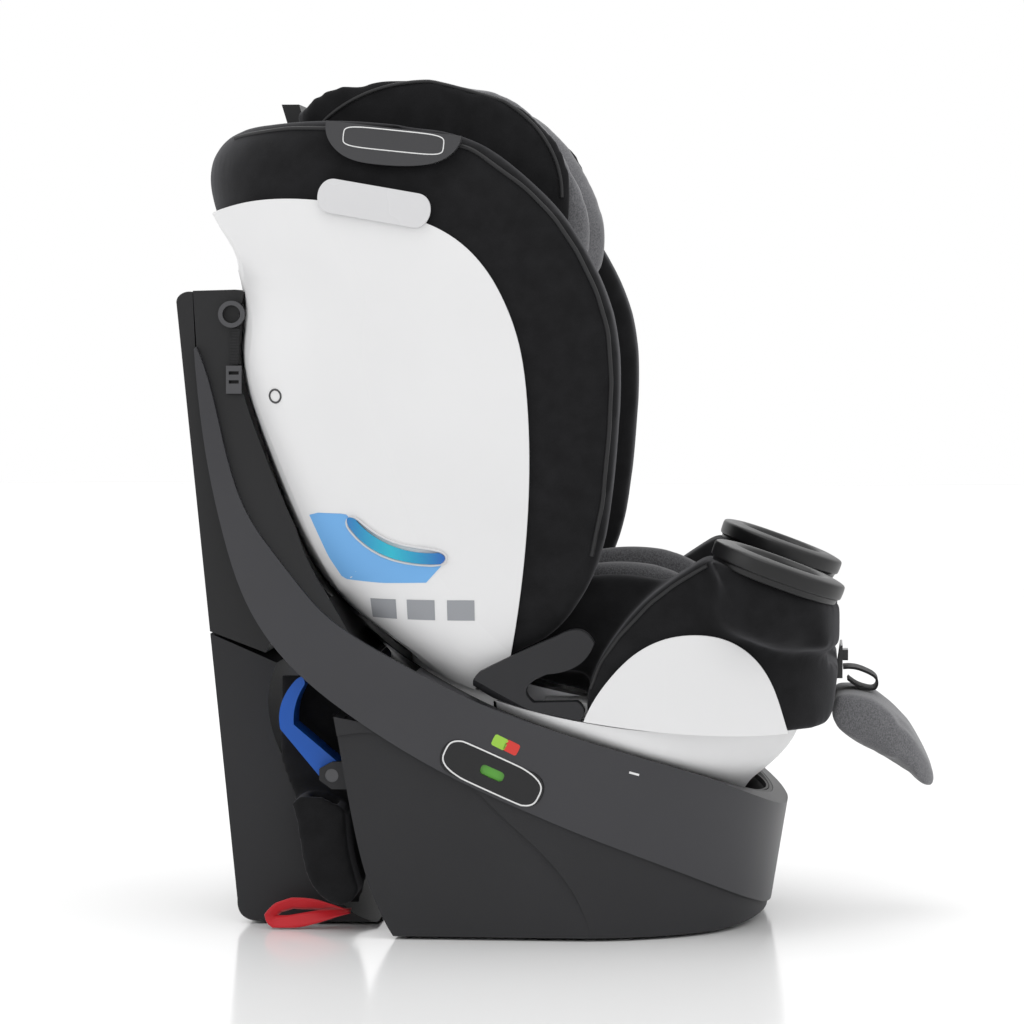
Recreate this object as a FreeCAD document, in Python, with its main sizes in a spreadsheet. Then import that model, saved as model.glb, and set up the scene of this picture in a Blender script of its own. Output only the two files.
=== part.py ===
"""Rotating convertible child car seat.

The seat turns on a turntable in a bowl-shaped base. The turning axis leans forward and passes
through the origin, which lies on the floor in the mid-plane. +X is the base's front, +Z is up.
Lengths are in millimetres and angles in degrees.
"""

import FreeCAD, Part
import Sketcher
import math
import os
from FreeCAD import Placement, Rotation, Vector

doc = FreeCAD.newDocument("rotating_car_seat")
sheet = doc.addObject("Spreadsheet::Sheet", "sizes")

# Driving sizes: name, value, what it is.
SIZES = [
    ("axis_tilt", 20, "forward lean of the turning axis"),
    ("fit_gap", 0.3, "gap between neighbouring pieces of one body"),
    ("run_gap", 0.05, "radial running gap of shafts and balls"),
    # base
    ("base_length", 546, "base, rear of the tall back to the front lip"),
    ("tall_back_height", 570, "floor to the top of the tall back"),
    ("tower_half", 114, "half width of the tall back and its foot"),
    ("bowl_radius", 184, "inside radius of the bowl at its rim"),
    ("liner_wall", 4, "wall of the bowl liner"),
    ("rim_wall", 9, "thinnest part of the rim band beside the liner"),
    ("housing_wall", 5, "wall of the base housing"),
    ("band_proud", 7, "how far the rim band stands out from the tall back"),
    ("floor_plate", 4, "thickness of the base's bottom plate"),
    ("foot_high", 2.5, "height of the anti-slip feet"),
    ("bowl_floor", 102, "height of the bowl's floor along the turning axis"),
    # turntable
    ("race_radius", 105, "pitch radius of the ball bearing"),
    ("race_half", 10, "half width of a bearing race"),
    ("race_thick", 6, "thickness of a bearing race"),
    ("ball_radius", 4, "bearing ball"),
    ("ball_count", 24, "number of bearing balls"),
    ("plate_radius", 152, "turntable plate"),
    ("plate_thick", 5, "turntable plate"),
    ("pin_radius", 12, "king pin shank"),
    ("pin_head", 22, "king pin head radius"),
    ("bolt_radius", 6, "rotation lock bolt"),
    ("bolt_orbit", 134, "lock bolt's distance from the turning axis"),
    ("bolt_lift", 10, "travel of the lock bolt"),
    ("carriage_wall", 4, "wall of the white carriage shell"),
    ("carriage_radius", 196, "carriage shell's half width at its top"),
    # recline
    ("recline_x", 215, "recline centre, forward of the origin"),
    ("recline_z", 982, "recline centre above the floor"),
    ("recline_radius", 800, "sliding face of the seat's underside"),
    ("rail_half", 9, "half width of a recline rail"),
    ("rail_high", 8, "height of a recline rail"),
    ("rail_y", 95, "recline rail from the mid-plane"),
    # seat
    ("back_height", 520, "seat back, from hip level to the top"),
    ("hip_z", 200, "hip level above the floor"),
    ("seat_half", 206, "half width of the seat at the shoulders"),
    ("corner_depth", 130, "depth of the rounded rear corners"),
    ("shell_wall", 4, "wall of the white seat shells"),
    ("back_thick", 72, "thickness of the padded back"),
    ("pan_half", 194, "half width of the seat pan"),
    ("pan_front", 307, "front of the seat pan, forward"),
    ("pan_well", 128, "half width of the seating well"),
    ("pan_floor", 250, "height of the seating surface's foam"),
    ("back_lean", 17, "lean of the seat back and of the headrest's slide"),
    ("cushion", 16, "thickness of the insert cushions"),
    # headrest
    ("head_half", 146, "half width of the headrest"),
    ("head_wing", 34, "thickness of the headrest wings"),
    ("rail_tube", 6, "radius of the headrest guide tubes"),
    # cup holders
    ("cup_radius", 37, "cup holder's bore at the top"),
    ("cup_wall", 2.5, "cup holder wall"),
    ("cup_deep", 62, "cup holder depth"),
    ("cup_rim", 60, "cup holder rim radius"),
    ("cup_rim_high", 17, "cup holder rim height"),
    ("cup_x", 250, "cup holder rim centre, forward"),
    ("cup_y", 170, "cup holder centre from the mid-plane"),
    ("cup_z", 335, "cup holder rim centre above the floor"),
    # controls
    ("grip_long", 118, "rotation release grip, fore and aft"),
    ("grip_thick", 13, "rotation release grip"),
    ("grip_lift", 10, "travel of the rotation release grip"),
    ("badge_long", 96, "lock status plate"),
    ("badge_high", 31, "lock status plate"),
    ("badge_thick", 4, "lock status plate"),
    ("window_long", 22, "window in the lock status plate"),
    ("window_high", 9, "window in the lock status plate"),
    ("buckle_wide", 44, "harness buckle"),
    ("button_travel", 3, "buckle and adjuster button travel"),
    ("strap_wide", 38, "harness webbing width"),
    ("strap_thick", 2.5, "harness webbing thickness"),
    ("tube_bar", 6, "radius of the belt bar the lock-off levers turn on"),
    ("flap_half", 62, "half width of the front flap"),
    ("vial_proud", 3, "how far the level vial stands out"),
]
for row, (alias, value, meaning) in enumerate(SIZES, start=1):
    sheet.set(f"A{row}", alias)
    sheet.set(f"B{row}", str(value))
    sheet.setAlias(f"B{row}", alias)
    sheet.set(f"C{row}", meaning)
doc.recompute()


def size(name):
    """A driving size from the sheet."""
    return float(sheet.get(name))


ACROSS = Vector(0, 1, 0)
TILT = Placement(Vector(0, 0, 0), Rotation(ACROSS, size("axis_tilt")))
SUB_PARTS = []


# ---------------------------------------------------------------- document helpers


def keep(thing, label):
    """Gives a document object its label and lists it for export."""
    thing.Label = label
    SUB_PARTS.append(thing)
    return thing


def shaped(label, shape, placement=None):
    """A sub-part whose shape comes from Part's own functions."""
    feature = doc.addObject("Part::Feature", label)
    feature.Shape = shape
    if placement is not None:
        feature.Placement = placement
    return keep(feature, label)


def tilt_object(thing):
    """Binds an object's placement to the turning axis."""
    thing.Placement = TILT
    thing.setExpression("Placement.Rotation.Angle", "sizes.axis_tilt * 1 deg")


def plane_sketch(body, name, role):
    """An empty sketch on one of the body's own origin planes."""
    sketch = body.newObject("Sketcher::SketchObject", name)
    plane = [o for o in body.Origin.OriginFeatures if o.Role == role][0]
    sketch.AttachmentSupport = (plane, [""])
    sketch.MapMode = "FlatFace"
    return sketch


def draw_polygon(sketch, corners):
    """A closed polygon whose corners are expressions of the sheet."""
    first = sketch.GeometryCount
    places = [Vector(reckon(x), reckon(y), 0) for x, y in corners]
    count = len(places)
    for i in range(count):
        sketch.addGeometry(Part.LineSegment(places[i], places[(i + 1) % count]), False)
    for i in range(count):
        sketch.addConstraint(
            Sketcher.Constraint("Coincident", first + i, 2, first + (i + 1) % count, 1)
        )
    for i, corner in enumerate(corners):
        for kind, text, value in zip(("DistanceX", "DistanceY"), corner, (places[i].x, places[i].y)):
            datum = sketch.addConstraint(Sketcher.Constraint(kind, -1, 1, first + i, 1, value))
            sketch.setExpression(f"Constraints[{datum}]", text)


def draw_circle(sketch, centre_x, centre_y, radius):
    """A circle whose centre and radius are expressions of the sheet."""
    x, y, r = reckon(centre_x), reckon(centre_y), reckon(radius)
    index = sketch.addGeometry(Part.Circle(Vector(x, y, 0), Vector(0, 0, 1), r), False)
    across = sketch.addConstraint(Sketcher.Constraint("DistanceX", -1, 1, index, 3, x))
    sketch.setExpression(f"Constraints[{across}]", centre_x)
    along = sketch.addConstraint(Sketcher.Constraint("DistanceY", -1, 1, index, 3, y))
    sketch.setExpression(f"Constraints[{along}]", centre_y)
    width = sketch.addConstraint(Sketcher.Constraint("Radius", index, r))
    sketch.setExpression(f"Constraints[{width}]", radius)


def reckon(text):
    """The value of a sheet expression, for a sketch's starting geometry."""
    return float(sheet.evalExpression(text.replace("sizes.", "")))


def turned_body(label, corners, angle=360):
    """A body made by revolving a polygon in the XZ plane about Z."""
    body = doc.addObject("PartDesign::Body", label)
    sketch = plane_sketch(body, label + "_profile", "XZ_Plane")
    draw_polygon(sketch, corners)
    turn = body.newObject("PartDesign::Revolution", label + "_turn")
    turn.Profile = sketch
    turn.ReferenceAxis = (sketch, ["V_Axis"])
    turn.Angle = angle
    doc.recompute()
    return keep(body, label)


def pocket(body, role, draw, depth=None, reverse=False):
    """Cuts the drawn profile out of a body, through all of it both ways unless a depth is given."""
    sketch = plane_sketch(body, body.Name + "_cut", role)
    draw(sketch)
    before = body.Shape.Volume
    cut = body.newObject("PartDesign::Pocket", body.Name + "_pocket")
    cut.Profile = sketch
    if depth is None:
        cut.Type = "ThroughAll"
        cut.Midplane = True
    else:
        cut.Length = reckon(depth)
        cut.setExpression("Length", depth)
        cut.Reversed = reverse
    doc.recompute()
    if not cut.Shape.Volume < before - 0.01:
        raise RuntimeError(body.Label + ": the pocket cuts nothing")
    return cut


# ---------------------------------------------------------------- shape helpers


def run_edges(runs, place):
    """Edges of a closed outline. A run of two points is straight, a longer one is a smooth curve."""
    edges = []
    for run in runs:
        points = [place(*p) for p in run]
        if len(points) == 2:
            edges.append(Part.makeLine(points[0], points[1]))
        else:
            curve = Part.BSplineCurve()
            curve.interpolate(points)
            edges.append(curve.toShape())
    start, end = place(*runs[0][0]), place(*runs[-1][-1])
    if start.distanceToPoint(end) > 1e-6:
        edges.append(Part.makeLine(end, start))
    return edges


def face_of(runs, place):
    """A flat face inside a closed outline."""
    return Part.Face(Part.Wire(run_edges(runs, place)))


def side_slab(runs, low_y, high_y):
    """A side-view outline (x, z) swept from low_y to high_y."""
    face = face_of(runs, lambda x, z: Vector(x, low_y, z))
    return face.extrude(Vector(0, high_y - low_y, 0))


def corners_as_runs(corners):
    """Straight runs between corners."""
    return [[a, b] for a, b in zip(corners, corners[1:] + corners[:1])]


def side_plate(corners, low_y, high_y):
    """A polygon in side view swept from low_y to high_y."""
    return side_slab(corners_as_runs(corners), low_y, high_y)


def front_slab(half_widths, low_x, high_x):
    """A front-view outline, half widths against heights, swept along X. Both sides are alike."""
    right = [(-w, z) for w, z in half_widths]
    left = [(w, z) for w, z in reversed(half_widths)]
    top = [right[-1], left[0]]
    face = face_of([right, top, left], lambda y, z: Vector(low_x, y, z))
    return face.extrude(Vector(high_x - low_x, 0, 0))


def rounded_plan(centre_x, front, half, power, low_z, high_z, rear, rake=0.0):
    """A plan outline with a rounded front, straight sides and a square rear, swept up. Rake leans it."""
    steps = 12
    curve = []
    for i in range(steps + 1):
        turn = math.radians(-90 + 180 * i / steps)
        across = math.copysign(abs(math.sin(turn)) ** (2 / power), turn)
        ahead = abs(math.cos(turn)) ** (2 / power) if i not in (0, steps) else 0.0
        curve.append((centre_x + front * ahead, half * across))
    runs = [curve, [curve[-1], (rear, half)], [(rear, half), (rear, -half)]]
    face = face_of(runs, lambda x, y: Vector(x, y, low_z))
    return face.extrude(Vector(rake * (high_z - low_z), 0, high_z - low_z))


def axis_turned(profile, smooth=True):
    """A solid of revolution about the turning axis. The profile is (radius, height along the axis)."""
    low, high = profile[0], profile[-1]
    side = [profile] if smooth else [[a, b] for a, b in zip(profile, profile[1:])]
    runs = [[(0, low[1]), low]] + side + [[high, (0, high[1])]]
    face = face_of(runs, lambda r, s: Vector(r, 0, s))
    solid = face.revolve(Vector(0, 0, 0), Vector(0, 0, 1), 360)
    solid.Placement = TILT
    return solid


def solid_of(shape):
    """The single closed solid of a boolean result, or a compound of its solids."""
    solids = shape.removeSplitter().Solids
    return solids[0] if len(solids) == 1 else Part.makeCompound(solids)


def mirrored(shape):
    """The same shape on the other side of the mid-plane."""
    return shape.mirror(Vector(0, 0, 0), ACROSS)


# ---------------------------------------------------------------- shared surfaces

LENGTH_SHARE = size("base_length") / 546
HEIGHT_SHARE = size("tall_back_height") / 570
BACK_SHARE = size("back_height") / 520
HALF = size("bowl_radius") + size("liner_wall") + size("rim_wall")
GAP = size("fit_gap")


def bx(x):
    """A station along the base, stretched with its length."""
    return x * LENGTH_SHARE


def bz(z):
    """A height on the tall back, stretched above the rim only."""
    return z if z < 212 else 212 + (z - 212) * (size("tall_back_height") - 212) / 358


def sz(z):
    """A height on the seat back, stretched above hip level."""
    hip = size("hip_z")
    return z if z < hip else hip + (z - hip) * BACK_SHARE


# Swept envelope of the turning seat: radius against height along the turning axis.
ENVELOPE = [(150, 96), (158, 140), (165, 170), (172, 188), (189, 197), (206, 205), (246, 222),
            (291, 250), (338, 302), (379, 354), (408, 402), (417, 440), (418, 480)]
BOWL_OUT = size("bowl_radius") - 172


def cavity(extra):
    """The bowl's inside, grown by extra. The seat's swept envelope fits in it."""
    grown = BOWL_OUT if BOWL_OUT > 8 else 8
    profile = []
    for radius, along in ENVELOPE:
        near_rim = max(0.0, min(1.0, (205 - along) / 20))
        profile.append((radius + 9 + (grown - 9) * near_rim + extra, along))
    profile[0] = (profile[0][0], size("bowl_floor") - extra)
    return axis_turned(profile)


RIM_LINE = [(bx(253), 105), (bx(215), 128), (bx(162), 151), (bx(92), 173), (bx(-18), 211),
            (bx(-101), 252), (bx(-155), bz(287)), (bx(-189), bz(324)), (bx(-224), bz(369)),
            (bx(-247), bz(428)), (bx(-262), bz(487)), (bx(-276), bz(524))]
SEAM_LINE = [(bx(246), 10), (bx(190), 45), (bx(139), 69), (bx(75), 95), (bx(36), 111),
             (bx(-53), 152), (bx(-119), 192), (bx(-197), bz(258)), (bx(-222), bz(294)),
             (bx(-247), bz(356)), (bx(-261), bz(409)), (bx(-270), bz(461)), (bx(-276), bz(524))]
REAR_TOP = (bx(-293), bz(560))
REAR_FOOT = (bx(-239), 15)


def rear_at(z):
    """The tall back's rear face at a height."""
    share = (z - REAR_FOOT[1]) / (REAR_TOP[1] - REAR_FOOT[1])
    return REAR_FOOT[0] + share * (REAR_TOP[0] - REAR_FOOT[0])


def base_widths(inset):
    """The base's half width against height: full at the bowl, narrow at the tall back."""
    full, tower = HALF - inset, size("tower_half") + size("band_proud") - inset
    shares = [(-5, 1), (100, 1), (175, 1), (212, 0.98), (255, 0.86), (295, 0.66), (335, 0.45),
              (375, 0.28), (430, 0.13), (490, 0.04), (575, 0)]
    widths = [(tower + (full - tower) * share, bz(z)) for z, share in shares]
    return widths + [(tower, bz(575) + 40)]


RAKE = 0.165
base_plan = rounded_plan(bx(28), bx(237) - bx(28), HALF, 2.4, -5, bz(640), bx(-420), RAKE)
base_front = front_slab(base_widths(0), bx(-340), bx(300))
tall_front = front_slab(base_widths(size("band_proud") + GAP), bx(-340), bx(300))
bowl_hole = cavity(0)
liner_hole = cavity(size("liner_wall") + GAP)

# ---------------------------------------------------------------- base: rim band


def make_rim_band():
    """The swooping upper band: a ring round the bowl and two arms up the tall back."""
    upper = RIM_LINE[:-1] + [(bx(-274), bz(520))]
    lower = [(bx(-276), bz(518))] + [p for p in reversed(SEAM_LINE[:-1])]
    tip = [(bx(300), -20), (bx(300), 90)]
    runs = [upper, [upper[-1], lower[0]], lower, [lower[-1], tip[0]], tip, [tip[-1], upper[0]]]
    band = side_slab(runs, -HALF - 5, HALF + 5).common(base_plan).common(base_front)
    core = side_plate([(bx(-330), 0), (bx(-70), 0), (bx(-70), bz(640)), (bx(-330), bz(640))],
                      -HALF, HALF).common(front_slab(base_widths(size("band_proud")),
                                                     bx(-340), bx(300)))
    inner_plan = rounded_plan(bx(28), bx(237) - bx(28) - size("rim_wall"),
                              HALF - size("rim_wall"), 2.4, -5, 400, bx(-420), RAKE)
    under = side_plate([(bx(-72), -5), (bx(300), -5), (bx(300), 60), (bx(-72), 190)],
                       -HALF, HALF).common(inner_plan)
    under = under.common(axis_turned([(400, -60), (400, 172)], False))
    band = band.cut(core).cut(liner_hole).cut(under).cut(status_hole())
    shaped("rim_band", solid_of(band))



# ---------------------------------------------------------------- base: housing

HOUSING_REAR = [(bx(-90), 0), (bx(-111), 47), (bx(-125), 101), (bx(-135), 156), (bx(-142), 196)]


def housing_block(inset):
    """The base housing's outer form, shrunk by inset."""
    seam = [(x, z - GAP - inset) for x, z in reversed(SEAM_LINE[:7])]
    rear = [(x + inset, z) for x, z in HOUSING_REAR]
    floor = size("foot_high") - (1 if inset else 0)
    front_x = bx(242)
    foot = [(bx(-90) + inset, floor), (bx(180), floor)]
    toe = [(bx(180), floor), (bx(212), floor + 1.5), (front_x - 8 - inset, 8)]
    rear[0] = foot[0]
    runs = [foot, toe, [toe[-1], seam[-1]], list(reversed(seam)), [seam[0], rear[-1]],
            list(reversed(rear))]
    plan = rounded_plan(bx(28), bx(234) - bx(28) - inset, HALF - 3 - inset, 2.4, -5, 400,
                        bx(-420), RAKE)
    return side_slab(runs, -HALF, HALF).common(plan)


def crease_panel():
    """The shallow panel pressed into the lower side of the housing."""
    runs = [[(bx(-150), 176), (bx(-57), 166), (bx(4), 112), (bx(57), 60), (bx(86), -4)],
            [(bx(86), -4), (bx(-150), -4)], [(bx(-150), -4), (bx(-150), 176)]]
    depth = 3
    right = side_slab(runs, -HALF - 5, -HALF + 3 + depth)
    return right.fuse(mirrored(right))


def make_housing():
    """The front housing: a shell that is open below and under the bowl."""
    outer = housing_block(0).cut(crease_panel())
    inner = housing_block(size("housing_wall") + 3)
    lip = size("liner_wall") + GAP
    sunk = side_slab([[(bx(-300), -10), (bx(300), -10)], [(bx(300), -10), (bx(300), 400)],
                      [(bx(300), 400), (bx(-300), 400)], [(bx(-300), 400), (bx(-300), -10)]],
                     -400, 400)
    body = outer.cut(inner).fuse(bar_ears()).cut(cavity(lip)).cut(status_hole()).common(sunk)
    keep_big = max(body.Solids, key=lambda s: s.Volume)
    shaped("base_housing", solid_of(keep_big))


# ---------------------------------------------------------------- base: bowl liner


def make_liner():
    """The round liner of the bowl, with its floor. It is trimmed to the rim line."""
    trim = [(x, z - 0.5) for x, z in RIM_LINE[:7]]
    runs = [trim, [trim[-1], (bx(-250), 0)], [(bx(-250), 0), (bx(300), -20)],
            [(bx(300), -20), trim[0]]]
    cup = cavity(size("liner_wall")).cut(cavity(0))
    cup = cup.common(side_slab(runs, -HALF, HALF))
    cup = cup.cut(axis_turned([(500, 206), (500, 600)], False))
    drill = Part.makeCylinder(size("pin_radius"), 60, Vector(0, 0, 70))
    drill.Placement = TILT
    shaped("bowl_liner", solid_of(max(cup.cut(drill).Solids, key=lambda s: s.Volume)))


make_liner()

# ---------------------------------------------------------------- base: tall back and tower

SHELF_LINE = [(rear_at(bz(262)), bz(262)), (bx(-203), bz(238)), (bx(-176), bz(213))]


def make_tall_back():
    """The tall inner back with its concave face, hollow and open to the rear cover."""
    seam = [(x + 1, z) for x, z in SEAM_LINE[7:]]
    front = [(bx(-116), 243), (bx(-146), bz(292)), (bx(-172), bz(334)), (bx(-194), bz(397)),
             (bx(-214), bz(460)), (bx(-222), bz(515)), (bx(-224), bz(556))]
    top = [front[-1], (bx(-229), bz(567)), (bx(-240), bz(571))]
    crown = [top[-1], (bx(-278), bz(570))]
    rear = [crown[-1]] + list(reversed(seam))
    foot = [rear[-1], (bx(-150), 214), front[0]]
    runs = [front, top, crown, rear, [foot[0], foot[1]], [foot[1], foot[2]]]
    wall = size("housing_wall")
    outer = side_slab(runs, -HALF, HALF).common(tall_front).cut(bowl_hole)
    open_rear = side_plate([(bx(-340), bz(262)), (bx(-150), bz(250)), (bx(-150), bz(562)),
                            (bx(-340), bz(562))], -HALF, HALF)
    inner = open_rear.common(front_slab(base_widths(size("band_proud") + GAP + wall),
                                        bx(-340), bx(300)))
    inner = inner.cut(cavity(wall + 1))
    liner_zone = liner_hole.common(axis_turned([(500, 60), (500, 206 + GAP)], False))
    back = outer.cut(inner).cut(liner_zone)
    pieces = sorted(back.Solids, key=lambda s: s.Volume)
    shaped("tall_back", solid_of(pieces[-1]))


def make_back_cover():
    """The black rear cover that closes the tall back, a thin tray."""
    wall = 3.5
    seam = [(x - GAP, z) for x, z in SEAM_LINE[8:]]
    crown = [(bx(-278) - GAP, bz(569)), (bx(-284), bz(569)), (bx(-290), bz(566)), REAR_TOP]
    shelf = [(rear_at(bz(264)), bz(264)), (bx(-213), bz(245)), (bx(-205), bz(262))]
    runs = [seam, [seam[-1], crown[0]], crown, [crown[-1], shelf[0]], [shelf[0], shelf[1]],
            [shelf[1], shelf[2]], [shelf[2], seam[0]]]
    half = size("tower_half")
    outer = side_slab(runs, -half, half)
    inner = side_plate([(rear_at(bz(268)) + wall, bz(268)), (bx(-100), bz(240)),
                        (bx(-100), bz(562)), (rear_at(bz(562)) + wall, bz(562))],
                       -half + wall, half - wall)
    return shaped("back_cover", solid_of(outer.cut(inner).cut(liner_hole)))


def make_tower():
    """The foot of the tall back, a hollow leg behind the belt slot."""
    wall = size("housing_wall")
    half = size("tower_half")
    floor = size("foot_high")
    front = [(bx(-112), floor), (bx(-142), 17), (bx(-165), 66), (bx(-183), 120), (bx(-204), 165),
             (bx(-203), bz(236))]
    heel = [(rear_at(22), 22), (bx(-235), 7), (bx(-224), floor)]
    top = [(bx(-203), bz(236)), (rear_at(bz(262)), bz(262))]
    runs = [front, top, [top[-1], heel[0]], heel, [heel[-1], front[0]]]
    outer = side_slab(runs, -half, half)
    inner = side_slab([[(bx(-150), -2), (bx(-172), 66), (bx(-192), 120), (bx(-212), 165),
                        (bx(-211), bz(225))], [(bx(-211), bz(225)), (rear_at(bz(250)) + wall, bz(250))],
                       [(rear_at(bz(250)) + wall, bz(250)), (rear_at(5) + wall + 4, -2)]],
                      -half + wall, half - wall)
    shaped("rear_tower", solid_of(outer.cut(inner)))


make_tall_back()
make_back_cover()
make_tower()

# ---------------------------------------------------------------- base: floor, feet, bars


def make_floor():
    """The bottom plate inside the housing, and the anti-slip feet under housing and tower."""
    inset = size("housing_wall") + 4
    plan = rounded_plan(bx(28), bx(190) - bx(28), HALF - 7 - inset, 2.4,
                        size("foot_high"), size("foot_high") + size("floor_plate"), bx(-72))
    shaped("floor_plate", plan)
    pads = []
    for x, y, long, wide in ((0, 0, 16, 276), (150, 0, 16, 240), (-215, 0, 14, 190),
                             (40, 150, 90, 16), (40, -150, 90, 16)):
        pads.append(Part.makeBox(long, wide, size("foot_high"),
                                 Vector(bx(x) - long / 2, y - wide / 2, 0)))
    shaped("anti_slip_feet", Part.makeCompound(pads))


def bar(label, x, z, half):
    """A steel bar across the base, seated in both its side walls."""
    rod = doc.addObject("Part::Cylinder", label)
    rod.setExpression("Radius", "sizes.tube_bar * 1 mm")
    rod.Height = 2 * half
    rod.Placement = Placement(Vector(x, -half, z), Rotation(Vector(1, 0, 0), -90))
    return keep(rod, label)


make_floor()

# ---------------------------------------------------------------- turntable stack


def on_axis(body):
    """Leans a body that was made about Z onto the turning axis."""
    tilt_object(body)
    return body


FLOOR = "sizes.bowl_floor"
RACE = "sizes.race_radius"
on_axis(turned_body("lower_race", [
    (f"{RACE} - sizes.race_half", FLOOR),
    (f"{RACE} + sizes.race_half", FLOOR),
    (f"{RACE} + sizes.race_half", f"{FLOOR} + sizes.race_thick"),
    (f"{RACE} + sizes.ball_radius * 0.9", f"{FLOOR} + sizes.race_thick"),
    (f"{RACE} + sizes.ball_radius * 0.9", f"{FLOOR} + sizes.race_thick - 2"),
    (f"{RACE} - sizes.ball_radius * 0.9", f"{FLOOR} + sizes.race_thick - 2"),
    (f"{RACE} - sizes.ball_radius * 0.9", f"{FLOOR} + sizes.race_thick"),
    (f"{RACE} - sizes.race_half", f"{FLOOR} + sizes.race_thick"),
]))
BALL_S = size("bowl_floor") + size("race_thick") - 2 + size("ball_radius") + size("run_gap")
UPPER_LOW = BALL_S - 2 + size("ball_radius") + size("run_gap")
PLATE_LOW = UPPER_LOW + size("race_thick") - 2
PLATE_TOP = PLATE_LOW + size("plate_thick")


def make_balls():
    """The ring of bearing balls."""
    balls = []
    for i in range(int(size("ball_count"))):
        turn = 2 * math.pi * i / size("ball_count")
        centre = Vector(size("race_radius") * math.cos(turn), size("race_radius") * math.sin(turn),
                        BALL_S)
        balls.append(Part.makeSphere(size("ball_radius"), centre))
    shaped("bearing_balls", Part.makeCompound(balls), TILT)


make_balls()
TOP = (f"{FLOOR} + sizes.race_thick - 2 + 2 * sizes.ball_radius + 2 * sizes.run_gap")
on_axis(turned_body("upper_race", [
    (f"{RACE} - sizes.race_half", f"{TOP} - 2"),
    (f"{RACE} - sizes.ball_radius * 0.9", f"{TOP} - 2"),
    (f"{RACE} - sizes.ball_radius * 0.9", TOP),
    (f"{RACE} + sizes.ball_radius * 0.9", TOP),
    (f"{RACE} + sizes.ball_radius * 0.9", f"{TOP} - 2"),
    (f"{RACE} + sizes.race_half", f"{TOP} - 2"),
    (f"{RACE} + sizes.race_half", f"{TOP} + sizes.race_thick - 4"),
    (f"{RACE} - sizes.race_half", f"{TOP} + sizes.race_thick - 4"),
]))
PLATE = f"({TOP} + sizes.race_thick - 4)"
plate = turned_body("turntable_plate", [
    ("sizes.pin_radius + sizes.run_gap", PLATE),
    ("sizes.plate_radius", PLATE),
    ("sizes.plate_radius", f"{PLATE} + sizes.plate_thick"),
    ("sizes.pin_radius + sizes.run_gap", f"{PLATE} + sizes.plate_thick"),
])
pocket(plate, "XY_Plane", lambda s: draw_circle(
    s, "-sizes.bolt_orbit", "0", "sizes.bolt_radius + sizes.run_gap"))
on_axis(plate)
on_axis(turned_body("king_pin", [
    ("0", f"{FLOOR} - sizes.liner_wall - 14"),
    ("sizes.pin_radius", f"{FLOOR} - sizes.liner_wall - 14"),
    ("sizes.pin_radius", f"{PLATE} + sizes.plate_thick + 0.4"),
    ("sizes.pin_head", f"{PLATE} + sizes.plate_thick + 0.4"),
    ("sizes.pin_head", f"{PLATE} + sizes.plate_thick + 5"),
    ("sizes.pin_head - 3", f"{PLATE} + sizes.plate_thick + 8"),
    ("0", f"{PLATE} + sizes.plate_thick + 8"),
]))
nut = doc.addObject("PartDesign::Body", "king_nut")
nut_sketch = plane_sketch(nut, "king_nut_hex", "XY_Plane")
for i in range(6):
    a, b = (math.radians(60 * k) for k in (i, i + 1))
    nut_sketch.addGeometry(Part.LineSegment(Vector(21 * math.cos(a), 21 * math.sin(a), 0),
                                            Vector(21 * math.cos(b), 21 * math.sin(b), 0)), False)
draw_circle(nut_sketch, "0", "0", "sizes.pin_radius")
nut_pad = nut.newObject("PartDesign::Pad", "king_nut_pad")
nut_pad.Profile = nut_sketch
nut_pad.Length = 10
doc.recompute()
nut.Placement = TILT.multiply(Placement(Vector(0, 0, size("bowl_floor") - size("liner_wall") - 12),
                                        Rotation()))
keep(nut, "king_nut")


def make_lock_ring():
    """The notched steel ring in the bowl's floor that the lock bolt drops into, every 90 degrees."""
    orbit, radius = size("bolt_orbit"), size("bolt_radius")
    low = size("bowl_floor")
    ring = Part.makeCylinder(orbit + 13, 5, Vector(0, 0, low))
    ring = ring.cut(Part.makeCylinder(orbit - 13, 9, Vector(0, 0, low - 2)))
    for i in range(4):
        turn = math.pi / 2 * i
        hole = Part.makeCylinder(radius + 0.25, 9, Vector(orbit * math.cos(turn),
                                                          orbit * math.sin(turn), low - 2))
        ring = ring.cut(hole)
    shaped("lock_ring", ring, TILT)


make_lock_ring()


def make_lock_bolt():
    """The lock bolt, drawn up clear of the ring, and the spring that presses it down."""
    radius, orbit = size("bolt_radius"), size("bolt_orbit")
    lift = size("bolt_lift")
    low = size("bowl_floor") + 0.5 + lift
    pin = Part.makeCylinder(radius, PLATE_TOP + 22 + lift - low, Vector(-orbit, 0, low))
    collar = Part.makeCylinder(radius + 4, 3, Vector(-orbit, 0, PLATE_TOP + 0.3 + lift))
    shaped("lock_bolt", pin.fuse(collar).removeSplitter(), TILT)
    coil_low, turns, wire = PLATE_TOP + 4.2 + lift, 3, 0.8
    pitch = 7.2 / turns
    helix = Part.makeHelix(pitch, pitch * turns, radius + 2)
    section = Part.Wire(Part.makeCircle(wire, Vector(radius + 2, 0, 0), ACROSS))
    spring = Part.Wire(helix).makePipeShell([section], True, True)
    shaped("lock_spring", spring, TILT.multiply(Placement(Vector(-orbit, 0, coil_low), Rotation())))


make_lock_bolt()

# ---------------------------------------------------------------- carriage

RECLINE = Vector(size("recline_x"), 0, size("recline_z"))


def recline_drum(radius, half=320):
    """The cylinder about the recline centre. What is inside it lies above the sliding face."""
    return Part.makeCylinder(radius, 2 * half, Vector(RECLINE.x, -half, RECLINE.z), ACROSS)


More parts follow.
